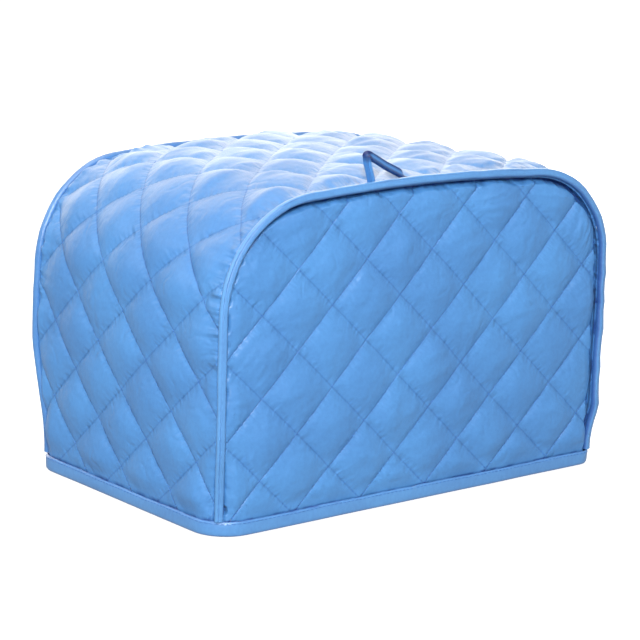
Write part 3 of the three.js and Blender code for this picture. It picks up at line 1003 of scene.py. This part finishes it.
@dataclass
class WrapPanel(QuiltedCloth):
    """The quilted strip over the left side, the top and the right side."""

    form: CoverForm
    outline: Outline
    quilting: Quilting
    name: str = "wrap_cloth"
    columns: int = 388
    rows: int = 122
    edge: float = 1.2
    dip: float = 1.7
    gather: float = 2.6
    bulges: tuple[Bulge, ...] = ()

    def flat(self, s: Array, t: Array) -> tuple[Array, Array]:
        """Length from the left hem, and depth from the front seam."""
        low = self.form.cut_height
        length = low + s * (self.outline.total - 2 * low)
        depth = self.edge + graded(t, 0.45) * (self.form.depth - 2 * self.edge)
        return length, depth

    def from_seam(self, y: Array) -> Array:
        """Distance to the nearer seam."""
        return np.minimum(y, self.form.depth - y)

    def from_hem(self, x: Array) -> Array:
        """Distance to the nearer end of the hem binding."""
        return np.minimum(x, self.outline.total - x) - self.form.hem_height

    def on_top(self, x: Array) -> Array:
        """1 on the top and 0 on the sides."""
        middle = self.outline.total / 2
        return 1.0 - smoothstep(np.abs(x - middle), 95.0, 160.0)

    def line_strength(self, x: Array) -> Array:
        """The stitched lines' painted shade and dip are fainter on the shiny top."""
        return 1.0 - 0.65 * self.on_top(x)

    def lift(self, x: Array, y: Array) -> Array:
        """The edge dips under the piping, gathers run off it, and the cloth stands uneven."""
        away = self.from_seam(y)
        front = y < self.form.seam_y
        dip = -np.where(front, self.dip, 0.5) * (1.0 - smoothstep(away, self.edge, self.edge + 3.6))
        side = np.where(front, 0.0, 40.0)
        wave = soft_noise(x / 4.2, side, self.quilting.seed + 11) + 0.6 * soft_noise(x / 8.5, side, 23.0)
        room = np.exp(-away / 8.0) * smoothstep(away, 2.2, 4.6)
        gathers = self.gather * self.gathered(x) * wave * room
        uneven = 0.8 * soft_noise(x / 62.0, y / 58.0, self.quilting.seed + 4)
        total = dip + gathers + uneven * self.fade(x, y)
        for bulge in self.bulges:
            total = total + bulge.lift(x, y)
        return total

    def gathered(self, x: Array) -> Array:
        """How strongly the seam gathers the cloth: least near the hem, most round the shoulders."""
        return 0.3 + 0.7 * smoothstep(self.from_hem(x), 70.0, 115.0) * (1.0 - 0.25 * self.on_top(x))

    def along_seam(self, x: Array, y: Array) -> tuple[Array, Array, Array]:
        """The strip's own length, the distance to the nearer seam, and the gathers' strength."""
        return x, self.from_seam(y), self.gathered(x)

    def fade(self, x: Array, y: Array) -> Array:
        """The quilting is pressed flat beside the seams and above the binding."""
        reach = np.where(y < self.form.seam_y, 15.0, 8.0)
        return smoothstep(self.from_seam(y), 2.0, reach) * smoothstep(self.from_hem(x), -1.0, 13.0)

    def wrinkles(self, x: Array, y: Array) -> Array:
        """Long soft folds along the top and small tucks in every diamond."""
        seed = self.quilting.seed
        room = self.quilting.relief(x, y) * self.fade(x, y)
        long_folds = soft_noise(x / 34.0 + 0.35 * soft_noise(x / 30.0, y / 30.0, 3.0), y / 5.6, seed + 7)
        broad = soft_noise(x / 17.0, y / 15.0, seed + 8)
        small = 0.34 * self.quilting.puckers(x, y) * self.fade(x, y)
        return room * (1.2 * self.on_top(x) * long_folds + 0.6 * broad) + small

    def painted_shade(self, x: Array, y: Array) -> Array:
        """Painted shade in dashes where the cloth goes under the front piping and into the binding."""
        dashes = edge_dashes(x, 5.0, 33.0, -0.1, 0.4)
        low = 1.0 - smoothstep(self.from_hem(x), 90.0, 130.0)
        shade = np.where(y < self.form.seam_y, 0.25 + 0.6 * dashes * low, 0.0)
        beside = shade * (1.0 - smoothstep(self.from_seam(y), self.edge + 1.0, self.edge + 2.6))
        return np.maximum(beside, self.hem_shade(self.from_hem(x), y))

    def place(self, x: Array, y: Array, height: Array) -> Array:
        """Bends the flat cloth over the outline and rounds the corners at the hem."""
        form = self.form
        line_x, line_z, out_x, out_z = self.outline.at(x)
        across = 2 * y / form.depth - 1
        swell = form.side_bulge * (1 - across**2) * smoothstep(line_z, form.hem_set, form.bulge_top)
        tuck = form.tuck(End.BACK, line_z) * smoothstep(y, form.depth - form.tuck_reach, form.depth)
        rise = height + swell - tuck
        px = line_x + out_x * rise
        py = y - form.seam_y
        pz = line_z + out_z * rise
        corner = form.hem_corner(px, py)
        edge = self.edge - form.panel_recess
        along = form.face_y - np.abs(py)
        inward = form.half_width - np.abs(px)
        along, inward = form.round_corner(corner, along, inward, pz, edge)
        low = pz < corner[1]
        px = np.where(low, np.sign(px) * (form.half_width - inward), px)
        py = np.where(low, np.sign(py) * (form.face_y - along), py)
        return np.column_stack([px, py, pz])

    def on_cloth(self, x: Array, y: Array) -> Array:
        """Off the seams and above the binding."""
        return (self.from_seam(y) > 4.0) & (self.from_hem(x) > 0.5)

    def box(self) -> tuple[Array, Array]:
        """The whole strip."""
        return np.array([0.0, 0.0]), np.array([self.outline.total, self.form.depth])


@dataclass
class EndPanel(QuiltedCloth):
    """A front or back panel. Its flat places are x to the right as seen from outside, and height."""

    form: CoverForm
    outline: Outline
    quilting: Quilting
    end: End
    name: str = "front_cloth"
    columns: int = 236
    rows: int = 156
    edge: float = 1.9
    groove_depth: float = 5.2
    groove_width: float = 3.1

    def flat(self, s: Array, t: Array) -> tuple[Array, Array]:
        """Stretches an even grid over the panel, with its corners in the middle of the shoulders."""
        form = self.form
        side = form.straight_side + 0.62 * form.shoulder
        s = graded(s, 0.55)
        t = graded(t, 0.55)

        def inset(length: Array) -> Array:
            """Places on the panel's cut edge, at lengths along the seam."""
            x, z, out_x, out_z = self.outline.at(length)
            edge = self.edge + form.tuck(self.end, z)
            return np.column_stack([x - out_x * edge, np.maximum(z - out_z * edge, form.cut_height)])

        total = self.outline.total
        low = form.cut_height
        left = inset(low + t * (side - low))
        right = inset(total - low - t * (side - low))
        top = inset(side + s * (total - 2 * side))
        ends = np.array([low, side, total - low, total - side])
        low_left, high_left, low_right, high_right = inset(ends)
        bottom = low_left + s[:, None] * (low_right - low_left)
        s = s[:, None]
        t = t[:, None]
        sides = left * (1 - s) + right * s + bottom * (1 - t) + top * t
        low_edge = low_left * (1 - s) + low_right * s
        high_edge = high_left * (1 - s) + high_right * s
        placed = sides - (low_edge * (1 - t) + high_edge * t)
        return placed[:, 0] * -self.end.value, placed[:, 1]

    def around(self, x: Array, y: Array) -> tuple[Array, Array]:
        """Distance to the seam's line, and length along it from the left hem."""
        distance, length = self.outline.nearest(-self.end.value * x, y)
        return distance - self.form.tuck(self.end, y), length

    def groove_share(self, length: Array) -> Array:
        """How far the panel sinks behind its piping, and how strong the groove's painted shade is: least
        up the left side, most along the top.
        """
        total = self.outline.total
        down_right = 1.0 - 0.45 * smoothstep(length, total - 190.0, total - 130.0)
        over = smoothstep(length, 150.0, 212.0) * down_right
        return np.maximum(over, 0.15 + 0.5 * edge_dashes(length, 5.0, 31.0, -0.15, 0.35))

    def groove_reach(self, length: Array) -> Array:
        """How wide the groove is, uneven along the seam."""
        seed = self.quilting.seed
        uneven = 0.9 * line_noise(length, 8.0, seed + 6) + 0.6 * line_noise(length, 3.0, seed + 12)
        return self.groove_width * (0.45 + 0.55 * self.groove_share(length)) + uneven

    def lift(self, x: Array, y: Array) -> Array:
        """The edge sinks behind the piping in a groove that is wider where a stitched line meets it."""
        away, length = self.around(x, y)
        puff = self.quilting.relief(x, y)
        width = self.groove_reach(length) + 2.8 * (1.0 - puff) * self.groove_share(length)
        groove = 1.0 - smoothstep(away - self.edge, 0.5 * width, width + 0.9)
        total = -self.groove_depth * self.groove_share(length) * groove
        uneven = 0.9 * soft_noise(x / 70.0, y / 60.0, self.quilting.seed + 4)
        return total + uneven * smoothstep(away, 4.0, 40.0) * smoothstep(y, 12.0, 50.0)

    def fade(self, x: Array, y: Array) -> Array:
        """The quilting stays full close to the seam and is pressed flat above the binding."""
        away, _ = self.around(x, y)
        return smoothstep(away, 1.0, 12.0) * smoothstep(y - self.form.hem_height, -1.0, 13.0)

    def wrinkles(self, x: Array, y: Array) -> Array:
        """Soft dents, short folds and small tucks in every diamond."""
        seed = self.quilting.seed
        fade = self.fade(x, y)
        room = self.quilting.relief(x, y) * fade
        dents = soft_noise(x / 15.0, y / 13.0, seed + 8)
        turn = soft_noise(x / 48.0, y / 48.0, seed + 9)
        folds = soft_noise((x + y * turn) / 14.0, (y - x * turn * 0.4) / 5.2, seed + 10)
        return room * (0.75 * dents + 0.45 * folds) + 0.34 * fade * self.quilting.puckers(x, y)

    def painted_shade(self, x: Array, y: Array) -> Array:
        """Painted shade in the groove behind the piping, and in dashes over the binding."""
        away, length = self.around(x, y)
        reach = self.edge + self.groove_reach(length)
        groove = self.groove_share(length) * (1.0 - smoothstep(away, reach - 0.9, reach + 0.5))
        return np.maximum(groove, self.hem_shade(y - self.form.hem_height, x))

    def along_seam(self, x: Array, y: Array) -> tuple[Array, Array, Array]:
        """Length along the seam, distance from it, and the gathers' strength."""
        away, length = self.around(x, y)
        return length, away, np.full_like(x, 0.25)

    def place(self, x: Array, y: Array, height: Array) -> Array:
        """Stands the flat cloth up in its seam, swells it and rounds the corners at the hem."""
        form = self.form
        away, _ = self.around(x, y)
        reach = np.minimum(away, np.maximum(y - form.hem_height, 0.0))
        swell = form.panel_bulge * np.sin(math.pi / 2 * np.minimum(reach / form.panel_reach, 1.0))
        px = -self.end.value * x
        corner = form.hem_corner(px, np.full_like(px, self.end.value))
        along = form.half_width - np.abs(px)
        along, inward = form.round_corner(corner, along, -height - swell, y, self.edge)
        across = np.sign(px) * (form.half_width - along)
        return np.column_stack([across, self.end.value * (form.face_y - inward), y])

    def on_cloth(self, x: Array, y: Array) -> Array:
        """Inside the groove's rim and above the binding."""
        away, _ = self.around(x, y)
        inside = self.outline.encloses(-self.end.value * x, y)
        return inside & (away > 5.5) & (y > self.form.hem_height + 0.5)

    def box(self) -> tuple[Array, Array]:
        """The panel's flat box."""
        half = self.form.half_width
        return np.array([-half, 0.0]), np.array([half, self.form.height])


@dataclass
class Piping:
    """A folded tape sewn into a seam: a rolled edge with the tape's fold line beside it.

    Angles are degrees round the roll, from outwards in the seam's plane to outwards of the end panel.
    """

    form: CoverForm
    outline: Outline
    end: End
    sides: int = 40
    rings: int = 101
    face_at: float = 72.0
    face_depth: float = 0.84
    fold_at: float = 44.0
    fold_half_width: float = 6.0
    fold_depth: float = 0.42
    painted_highlight_at: float = 10.0
    painted_highlight_width: float = 24.0
    wobble: float = 0.55

    def centre(self, length: Array) -> tuple[Array, Array]:
        """The seam's centre line in space.

        Args:
            length: lengths from the left hem.

        Returns:
            Places, and the outward directions in the seam's plane.
        """
        form = self.form
        x, z, out_x, out_z = self.outline.at(length)
        radius, free = form.hem_corner(x, np.full_like(x, self.end.value))
        share = form.hem_share(free, z)
        inset = radius - (radius + form.piping_foot) * math.sqrt(0.5)
        tuck = form.tuck(self.end, z)
        px = np.where(z < free, np.sign(x) * (form.half_width - inset * share), x - out_x * tuck)
        py = self.end.value * (form.seam_y + (form.face_y - inset - form.seam_y) * share)
        out = np.column_stack([out_x, np.zeros_like(x), out_z])
        return np.column_stack([px, py, z - out_z * tuck]), out

    def build(self, material: bpy.types.Material) -> bpy.types.Object:
        """Builds the piping.

        Args:
            material: its finish.

        Returns:
            The piece.
        """
        form = self.form
        name = f"{self.end.name.lower()}_piping_tape"
        piece, angle, share = long_tube(name, self.sides, self.rings)
        length = form.piping_floor + share * (self.outline.total - 2 * form.piping_floor)
        centre, out = self.centre(length)
        forward = np.array([0.0, self.end.value, 0.0])
        degrees = np.degrees(angle)
        seed = 50.0 + self.end.value
        fold = np.exp(-(((degrees - self.fold_at) / self.fold_half_width) ** 2))
        fold = fold * (0.65 + 0.35 * line_noise(length, 17.0, seed + 1))
        off_face = np.cos(np.radians(np.clip(np.abs(degrees - self.face_at), 0.0, 60.0)))
        flat_face = np.minimum(1.0, self.face_depth / off_face)
        tucks = 0.1 * soft_noise(length / 2.6, degrees / 50.0, seed + 2)
        plump = 1.04 + 0.05 * line_noise(length, 12.0, seed)
        radius = form.piping_radius * plump * flat_face + tucks - self.fold_depth * fold
        loose = smoothstep(length, self.outline.total - 210.0, self.outline.total - 150.0)
        sway = self.wobble * (0.35 + 0.65 * loose) * line_noise(length, 8.5, seed + 3)
        sway = sway * smoothstep(centre[:, 2], 12.0, 40.0)
        points = centre + out * (radius * np.cos(angle) + sway)[:, None]
        points = points + forward * (radius * np.sin(angle) + 0.4 * sway)[:, None]
        write_points(piece, points)
        write_layer(piece, "UVMap", np.column_stack([length, angle * form.piping_radius]) * MM)
        # Painted shade: dark in the tape's fold line, on its shaded inner side, on the front piping's side
        # against the cloth and over the whole back piping; the front ridge is left lighter as a painted
        # highlight.
        inner_side_shade = smoothstep(degrees, 112.0, 150.0)
        wrap_side_shade = smoothstep(-degrees, 95.0, 125.0) * (self.end is End.FRONT)
        ridge = np.exp(-(((degrees - self.painted_highlight_at) / self.painted_highlight_width) ** 2))
        base = 0.2 * (1.0 - ridge) if self.end is End.FRONT else 0.42
        shade = base + 0.8 * self.fold_depth * fold + 0.6 * np.maximum(inner_side_shade, wrap_side_shade)
        write_attribute(piece, "painted_shade", shade)
        dress(piece, material)
        LOG.info("%s: %d faces", name, len(piece.data.polygons))
        return piece


@dataclass
class HemBinding:
    """The tape folded round the whole lower edge, with its row of stitches."""

    form: CoverForm
    segments: int = 256
    outside: float = 1.9
    inside: float = 3.4
    thickness: float = 1.0
    stitch_height: float = 7.7
    ripples: int = 57
    sway: float = 23.0
    sway_seed: float = 62.0

    def course(self) -> tuple[Array, Array, Array]:
        """The hem's outer line in plan, straight stretches and round corners, from the front's middle.

        Returns:
            The lengths where they join, the outward angle at each, and each one's centre and radius.
        """
        form = self.form
        quarters = (
            (1, -1, form.right_front.radius),
            (1, 1, form.right_back.radius),
            (-1, 1, form.left_back.radius),
            (-1, -1, form.left_front.radius),
        )
        sign_x, sign_y, radius = np.array(quarters).T
        middles = (sign_x * (form.half_width - radius), sign_y * (form.face_y - radius))
        arcs = np.column_stack([*middles, radius])
        knots = np.vstack([arcs[0] * (0, 1, 1), np.repeat(arcs, 2, axis=0), arcs[3] * (0, 1, 1)])
        angles = np.repeat(np.arange(5), 2) * math.pi / 2 - math.pi / 2
        outer = knots[:, :2] + knots[:, 2:] * np.column_stack([np.cos(angles), np.sin(angles)])
        steps = np.linalg.norm(np.diff(outer, axis=0), axis=1)
        steps[1::2] = arcs[:, 2] * math.pi / 2
        return np.concatenate([[0.0], np.cumsum(steps)]), angles, knots

    def ring(self, share: Array, offset: Array) -> Array:
        """Places in plan round the rounded hem.

        Args:
            share: share of the way round, from the middle of the front towards the right.
            offset: how far inwards of the cloth's outer face.

        Returns:
            x and y of each place.
        """
        stops, angles, knots = self.course()
        length = share * stops[-1]
        angle = np.interp(length, stops, angles)
        x, y, radius = (np.interp(length, stops, values) for values in knots.T)
        reach = radius - offset
        return np.column_stack([x + reach * np.cos(angle), y + reach * np.sin(angle)])

    def perimeter(self) -> float:
        """Length of the hem."""
        return float(self.course()[0][-1])

    def section(self) -> Array:
        """The folded tape's section as offsets inwards and heights, once round."""
        top = self.form.hem_height
        out = -self.outside
        corners = [
            (out + 1.25, top + 0.1),
            (out + 0.5, top - 0.25),
            (out + 0.12, top - 1.4),
            (out, top * 0.6),
            (out + 0.05, top * 0.3),
            (out + 0.3, 0.9),
            (out + 0.9, 0.25),
            (out + 1.8, 0.0),
            (self.inside - 1.6, 0.0),
            (self.inside - 0.5, 0.3),
            (self.inside - 0.05, 1.1),
            (self.inside, top * 0.55),
            (self.inside - 0.15, top - 0.6),
            (self.inside - 0.7, top),
            (self.inside - 1.2, top - 0.3),
            (self.inside - self.thickness, top * 0.7),
            (self.inside - self.thickness, 1.6),
            (self.inside - 1.7, 1.05),
            (out + 2.0, 1.05),
            (out + 1.15, 1.6),
            (out + 1.0, top * 0.6),
            (out + 1.1, top - 0.8),
        ]
        return np.array(corners)

    def build(self, material: bpy.types.Material) -> bpy.types.Object:
        """Builds the binding.

        Args:
            material: its finish.

        Returns:
            The piece.
        """
        section = self.section()
        count = len(section)
        deselect_all()
        bpy.ops.mesh.primitive_torus_add(
            major_segments=self.segments,
            minor_segments=count,
            major_radius=1.0,
            minor_radius=0.25,
        )
        piece = bpy.context.object
        piece.name = "hem_tape"
        piece.data.name = "hem_tape"
        points = read_points(piece)
        round_share = turn_share(points[:, 1], points[:, 0])
        minor = turn_share(points[:, 2], np.hypot(points[:, 0], points[:, 1]) - 1.0)
        index = np.mod(np.round(minor * count).astype(int), count)
        length = round_share * self.perimeter()
        offset, height = section[index].T
        upper = smoothstep(height, 4.0, 9.5)
        outer = offset < 0.5
        ripple = np.sin(2 * math.pi * round_share * self.ripples) + 1.4 * line_noise(length, 11.0, 61.0)
        offset = offset + np.where(outer, 0.16 * upper * ripple, 0.0)
        height = height + 0.35 * upper * line_noise(length, self.sway, self.sway_seed)
        offset = offset + np.where(outer, 0.22 * soft_noise(length / 31.0, height / 4.0, 63.0), 0.0)
        write_points(piece, np.column_stack([self.ring(round_share, offset), height]))
        write_layer(piece, "UVMap", np.column_stack([length, index * 1.4]) * MM)
        # Painted shade: dashes in the join under the cloth, a dark line at the floor and a darker inside,
        # over an even darkening of the tape's colour.
        dashes = edge_dashes(length, 4.5, 64.0, -0.3, 0.3)
        upper_edge_shade = (0.5 + 0.5 * dashes) * smoothstep(offset, -1.35, -0.7) * (height > 4.0)
        lower_edge_shade = 0.7 * (1.0 - smoothstep(height, 0.2, 1.0))
        shade = np.where(outer, np.maximum(upper_edge_shade, lower_edge_shade), 0.15)
        write_attribute(piece, "painted_shade", shade + 0.22)
        deselect_all()
        piece.select_set(True)
        bpy.context.view_layer.objects.active = piece
        bpy.ops.object.mode_set(mode="EDIT")
        bpy.ops.mesh.select_all(action="SELECT")
        bpy.ops.mesh.normals_make_consistent(inside=False)
        bpy.ops.object.mode_set(mode="OBJECT")
        dress(piece, material)
        LOG.info("hem_tape: %d faces", len(piece.data.polygons))
        return piece

    def stitch(self, thread: Thread) -> bpy.types.Object:
        """Sews the row of stitches along the tape's outer face.

        Args:
            thread: the thread.

        Returns:
            The stitches, as one piece.
        """
        perimeter = self.perimeter()
        starts = np.arange(0.0, perimeter - thread.step, thread.step)

        def at(length: Array, proud: float) -> Array:
            """Places on the stitched line, proud of the tape's outer face."""
            plan = self.ring(length / perimeter, np.full_like(length, -self.outside - proud))
            height = self.stitch_height + 0.3 * line_noise(length, self.sway, self.sway_seed)
            return np.column_stack([plan, height])

        first = at(starts, 0.0)
        last = at(starts + thread.length, 0.0)
        return thread.sew("hem_tape_stitches", first, last, at(starts, 1.0) - first)


@dataclass
class PullLoop:
    """A flat strap folded into a loop, whose two feet stand in the front seam.

    The section's powers square its round off across the strap and through it. The strap's map is longer
    than the strap, which makes its weave finer.
    """

    form: CoverForm
    width: float = 5.6
    thickness: float = 1.6
    lean: float = 55.0
    across_power: float = 0.24
    out_power: float = 0.6
    behind_seam: float = 2.7
    map_length: float = 70.0
    rings: int = 96
    sides: int = 28
    path: tuple[tuple[float, float], ...] = (
        (-13.9, 1.2),
        (-17.8, 3.9),
        (-28.0, 8.8),
        (-36.0, 13.2),
        (-41.9, 15.9),
        (-42.3, 12.4),
        (-40.6, 7.0),
        (-38.6, 0.4),
    )

    def curve(self, share: Array) -> tuple[Array, Array]:
        """The strap's centre line in its own plane.

        Args:
            share: shares of the way from the right foot to the left foot.

        Returns:
            Places and directions, as x and height.
        """
        points = np.array(self.path)
        padded = np.vstack([2 * points[0] - points[1], points, 2 * points[-1] - points[-2]])
        at = np.clip(share, 0.0, 1.0 - 1e-9) * (len(points) - 1)
        start = np.floor(at).astype(int)
        t = (at - start)[:, None]
        a, b, c, d = (padded[start + shift] for shift in range(4))
        square = 2 * a - 5 * b + 4 * c - d
        cube = 3 * b - a - 3 * c + d
        place = 0.5 * (2 * b + (c - a) * t + square * t**2 + cube * t**3)
        run = 0.5 * ((c - a) + 2 * square * t + 3 * cube * t**2)
        return place, run / np.linalg.norm(run, axis=1, keepdims=True)

    def build(self, material: bpy.types.Material) -> bpy.types.Object:
        """Builds the loop.

        Args:
            material: its finish.

        Returns:
            The piece.
        """
        piece, angle, share = long_tube("pull_loop_strap", self.sides, self.rings)
        place, run = self.curve(share)
        half = self.width / 2
        across = half * np.sign(np.cos(angle)) * np.abs(np.cos(angle)) ** self.across_power
        out = self.thickness / 2 * np.sign(np.sin(angle)) * np.abs(np.sin(angle)) ** self.out_power
        edge_roll = 0.25 * smoothstep(np.abs(across) / half, 0.55, 0.85) * np.sign(out)
        out = out + edge_roll * (np.abs(out) > 0.2)
        falling = smoothstep(share, 0.52, 0.66)
        lean = math.radians(self.lean) * (1.0 - falling) * smoothstep(place[:, 1], 0.8, 4.0)
        sunk = out * np.cos(lean) - across * np.sin(lean)
        x = place[:, 0] - run[:, 1] * sunk
        y = -self.form.seam_y + self.behind_seam + half + across * np.cos(lean) + out * np.sin(lean)
        z = self.form.height + place[:, 1] + run[:, 0] * sunk
        write_points(piece, np.column_stack([x, y, z]))
        write_layer(piece, "UVMap", np.column_stack([share * self.map_length, across]) * MM)
        # Painted shade: the strap's edges darken while it leans, and it darkens just past the tip of its
        # fold.
        edges = smoothstep(np.abs(across) / half, 0.25, 0.7)
        fold = 0.85 * smoothstep(share, 0.48, 0.56) * (1.0 - smoothstep(share, 0.64, 0.76))
        write_attribute(piece, "painted_shade", 0.1 + 0.9 * edges * (1.0 - falling) + fold)
        dress(piece, material, 65.0)
        LOG.info("pull_loop_strap: %d faces", len(piece.data.polygons))
        return piece


@dataclass
class Studio:
    """Camera, lights and floor, in metres and degrees, with the lens and sensor in millimetres."""

    target: tuple[float, float, float] = (-0.01247, -0.0138, 0.09476)
    distance: float = 1.5
    azimuth: float = 39.43
    elevation: float = 12.60
    roll: float = 1.765
    lens: float = 140.6
    sensor: float = 36.0
    surroundings: float = 0.56
    gloss_colour: Colour = (1.0, 0.9, 0.76)
    middle: tuple[float, float, float] = (0.0, 0.0, 0.1)
    floor_size: float = 12.0
    floor_drop: float = 0.0004
    floor_glow: float = 0.76

    def axes(self) -> tuple[Vector, Vector, Vector]:
        """The camera's right, up and forward directions."""
        azimuth = math.radians(self.azimuth)
        elevation = math.radians(self.elevation)
        level = math.cos(elevation)
        forward = Vector((math.sin(azimuth) * level, math.cos(azimuth) * level, -math.sin(elevation)))
        right = forward.cross(Vector((0.0, 0.0, 1.0))).normalized()
        up = right.cross(forward)
        roll = math.radians(self.roll)
        tilted = right * math.cos(roll) + up * math.sin(roll)
        return tilted, tilted.cross(forward), forward

    def place_camera(self) -> None:
        """Puts the camera at the photograph's viewpoint."""
        right, up, forward = self.axes()
        data = bpy.data.cameras.new("camera")
        data.lens = self.lens
        data.sensor_width = self.sensor
        camera = bpy.data.objects.new("camera", data)
        bpy.context.scene.collection.objects.link(camera)
        turn = Matrix((right, up, -forward)).transposed().to_4x4()
        camera.matrix_world = Matrix.Translation(Vector(self.target) - forward * self.distance) @ turn
        bpy.context.scene.camera = camera

    def add_light(
        self,
        name: str,
        place: tuple[float, float, float],
        size: float,
        power: float,
    ) -> bpy.types.Object:
        """Adds a square soft light that points at the cover's middle.

        Args:
            name: its name.
            place: where it hangs.
            size: its side.
            power: its strength in watts.

        Returns:
            The light.
        """
        data = bpy.data.lights.new(name, "AREA")
        data.size = size
        data.energy = power
        light = bpy.data.objects.new(name, data)
        bpy.context.scene.collection.objects.link(light)
        turn = (Vector(self.middle) - Vector(place)).to_track_quat("-Z", "Y")
        light.matrix_world = Matrix.Translation(place) @ turn.to_matrix().to_4x4()
        return light

    def light(self) -> None:
        """Even surroundings, three lights that shade the cloth, and two that show only as gloss."""
        world = bpy.data.worlds.new("studio")
        world.use_nodes = True
        tree = world.node_tree
        background = tree.nodes["Background"]
        background.inputs["Color"].default_value = (1.0, 1.0, 1.0, 1.0)
        tools = NodeTools(tree)
        seen = tools.add("ShaderNodeLightPath").outputs["Is Camera Ray"]
        tools.feed(background.inputs["Strength"], tools.ramp(seen, 0.0, 1.0, self.surroundings, 1.0))
        bpy.context.scene.world = world
        bpy.context.scene.view_settings.view_transform = "Standard"
        self.add_light("key_light", (-1.1, -1.4, 0.95), size=0.5, power=45.0)
        self.add_light("left_light", (-1.4, 0.7, 0.9), size=0.5, power=5.5)
        over = self.add_light("over_gloss", (-0.3, -0.6, 1.7), size=1.3, power=34.0)
        behind = self.add_light("back_gloss", (0.6, 1.5, 1.0), size=2.6, power=74.0)
        fill = self.add_light("back_fill", (1.2, 1.6, 0.5), size=0.6, power=40.0)
        fill.visible_glossy = False
        for gloss in (over, behind):
            gloss.visible_diffuse = False
            gloss.data.color = self.gloss_colour

    def lay_floor(self) -> None:
        """Lays a plain pale floor just under the cover, which throws no light back on it."""
        deselect_all()
        bpy.ops.mesh.primitive_plane_add(size=self.floor_size, location=(0.0, 0.0, -self.floor_drop))
        floor = bpy.context.object
        floor.name = "floor"
        material = bpy.data.materials.new("pale_floor")
        material.use_nodes = True
        shader = material.node_tree.nodes["Principled BSDF"]
        shader.inputs["Base Color"].default_value = (0.5, 0.5, 0.5, 1.0)
        shader.inputs["Roughness"].default_value = 0.9
        shader.inputs["Emission Color"].default_value = (1.0, 1.0, 1.0, 1.0)
        shader.inputs["Emission Strength"].default_value = self.floor_glow
        floor.data.materials.append(material)
        floor.visible_diffuse = False
        floor.visible_glossy = False


@dataclass
class ToasterCover:
    """The whole cover: its pieces, in the order they are built, and how they stand for the solids."""

    form: CoverForm = field(default_factory=CoverForm)
    satin: SatinFinish = SatinFinish(
        name="quilted_satin",
        colour=(0.072, 0.248, 0.55),
        tone_and_shade_colour=(0.01, 0.04, 0.2),
        quilted=True,
    )
    tape: SatinFinish = SatinFinish(
        name="satin_tape",
        colour=(0.105, 0.315, 0.635),
        tone_and_shade_colour=(0.012, 0.05, 0.24),
        roughness=0.34,
        shine=0.65,
    )
    strap: SatinFinish = SatinFinish(
        name="loop_satin",
        colour=(0.075, 0.26, 0.6),
        tone_and_shade_colour=(0.006, 0.02, 0.11),
        roughness=0.4,
        shine=0.3,
    )
    thread: SatinFinish = SatinFinish(
        name="blue_thread",
        colour=(0.035, 0.16, 0.47),
        tone_and_shade_colour=(0.012, 0.06, 0.26),
        roughness=0.5,
    )
    panel_quilt: Quilting = Quilting(
        half_along=24.7,
        half_up=23.46,
        crossing=(-117.4, 32.0),
        turn=0.016,
        about=(0.0, 100.0),
        seed=1.0,
    )
    wrap_quilt: Quilting = Quilting(
        half_along=23.39,
        half_up=23.85,
        crossing=(44.3, 18.3),
        turn=-0.053,
        about=(120.0, 100.0),
        seed=2.0,
    )
    sags: tuple[Bulge, ...] = (Bulge(at=(436.0, 118.0), reach=(62.0, 48.0), height=-6.0),)

    def build(self) -> None:
        """Builds every piece, hides the solids it stands for and attaches each piece to the root body."""
        outline = Outline(self.form)
        weave = make_weave_group()
        satin = self.satin.make(weave)
        tape = self.tape.make(weave)
        strap = self.strap.make(weave)
        thread = Thread(self.thread.make(weave))

        wrap = WrapPanel(self.form, outline, self.wrap_quilt, bulges=self.sags)
        wrap_cloth = wrap.build(satin)
        wrap_stitches = wrap.stitch(thread)
        binding = HemBinding(self.form)
        hem = binding.build(tape)
        hem_stitches = binding.stitch(thread)
        loop = PullLoop(self.form).build(strap)
        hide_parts("wrap_panel")
        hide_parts("hem_binding")
        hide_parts("pull_loop")
        slots = {
            "quilted_cloth": [wrap_cloth, wrap_stitches],
            "trim_tape": [hem, hem_stitches],
            "loop_strap": [loop],
        }

        for end in End:
            side = end.name.lower()
            panel = EndPanel(self.form, outline, self.panel_quilt, end, name=f"{side}_cloth")
            cloth = panel.build(satin)
            stitches = panel.stitch(thread)
            piping = Piping(self.form, outline, end).build(tape)
            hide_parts(f"{side}_panel")
            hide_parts(f"{side}_piping")
            slots["quilted_cloth"] += [cloth, stitches]
            slots["trim_tape"].append(piping)
        for slot, pieces in slots.items():
            for piece in pieces:
                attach(piece, "root")


def main() -> None:
    """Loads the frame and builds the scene."""
    logging.basicConfig(level=logging.INFO, format="%(name)s %(message)s")
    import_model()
    studio = Studio()
    studio.place_camera()
    studio.light()
    studio.lay_floor()
    ToasterCover().build()


if __name__ == "__main__":
    main()
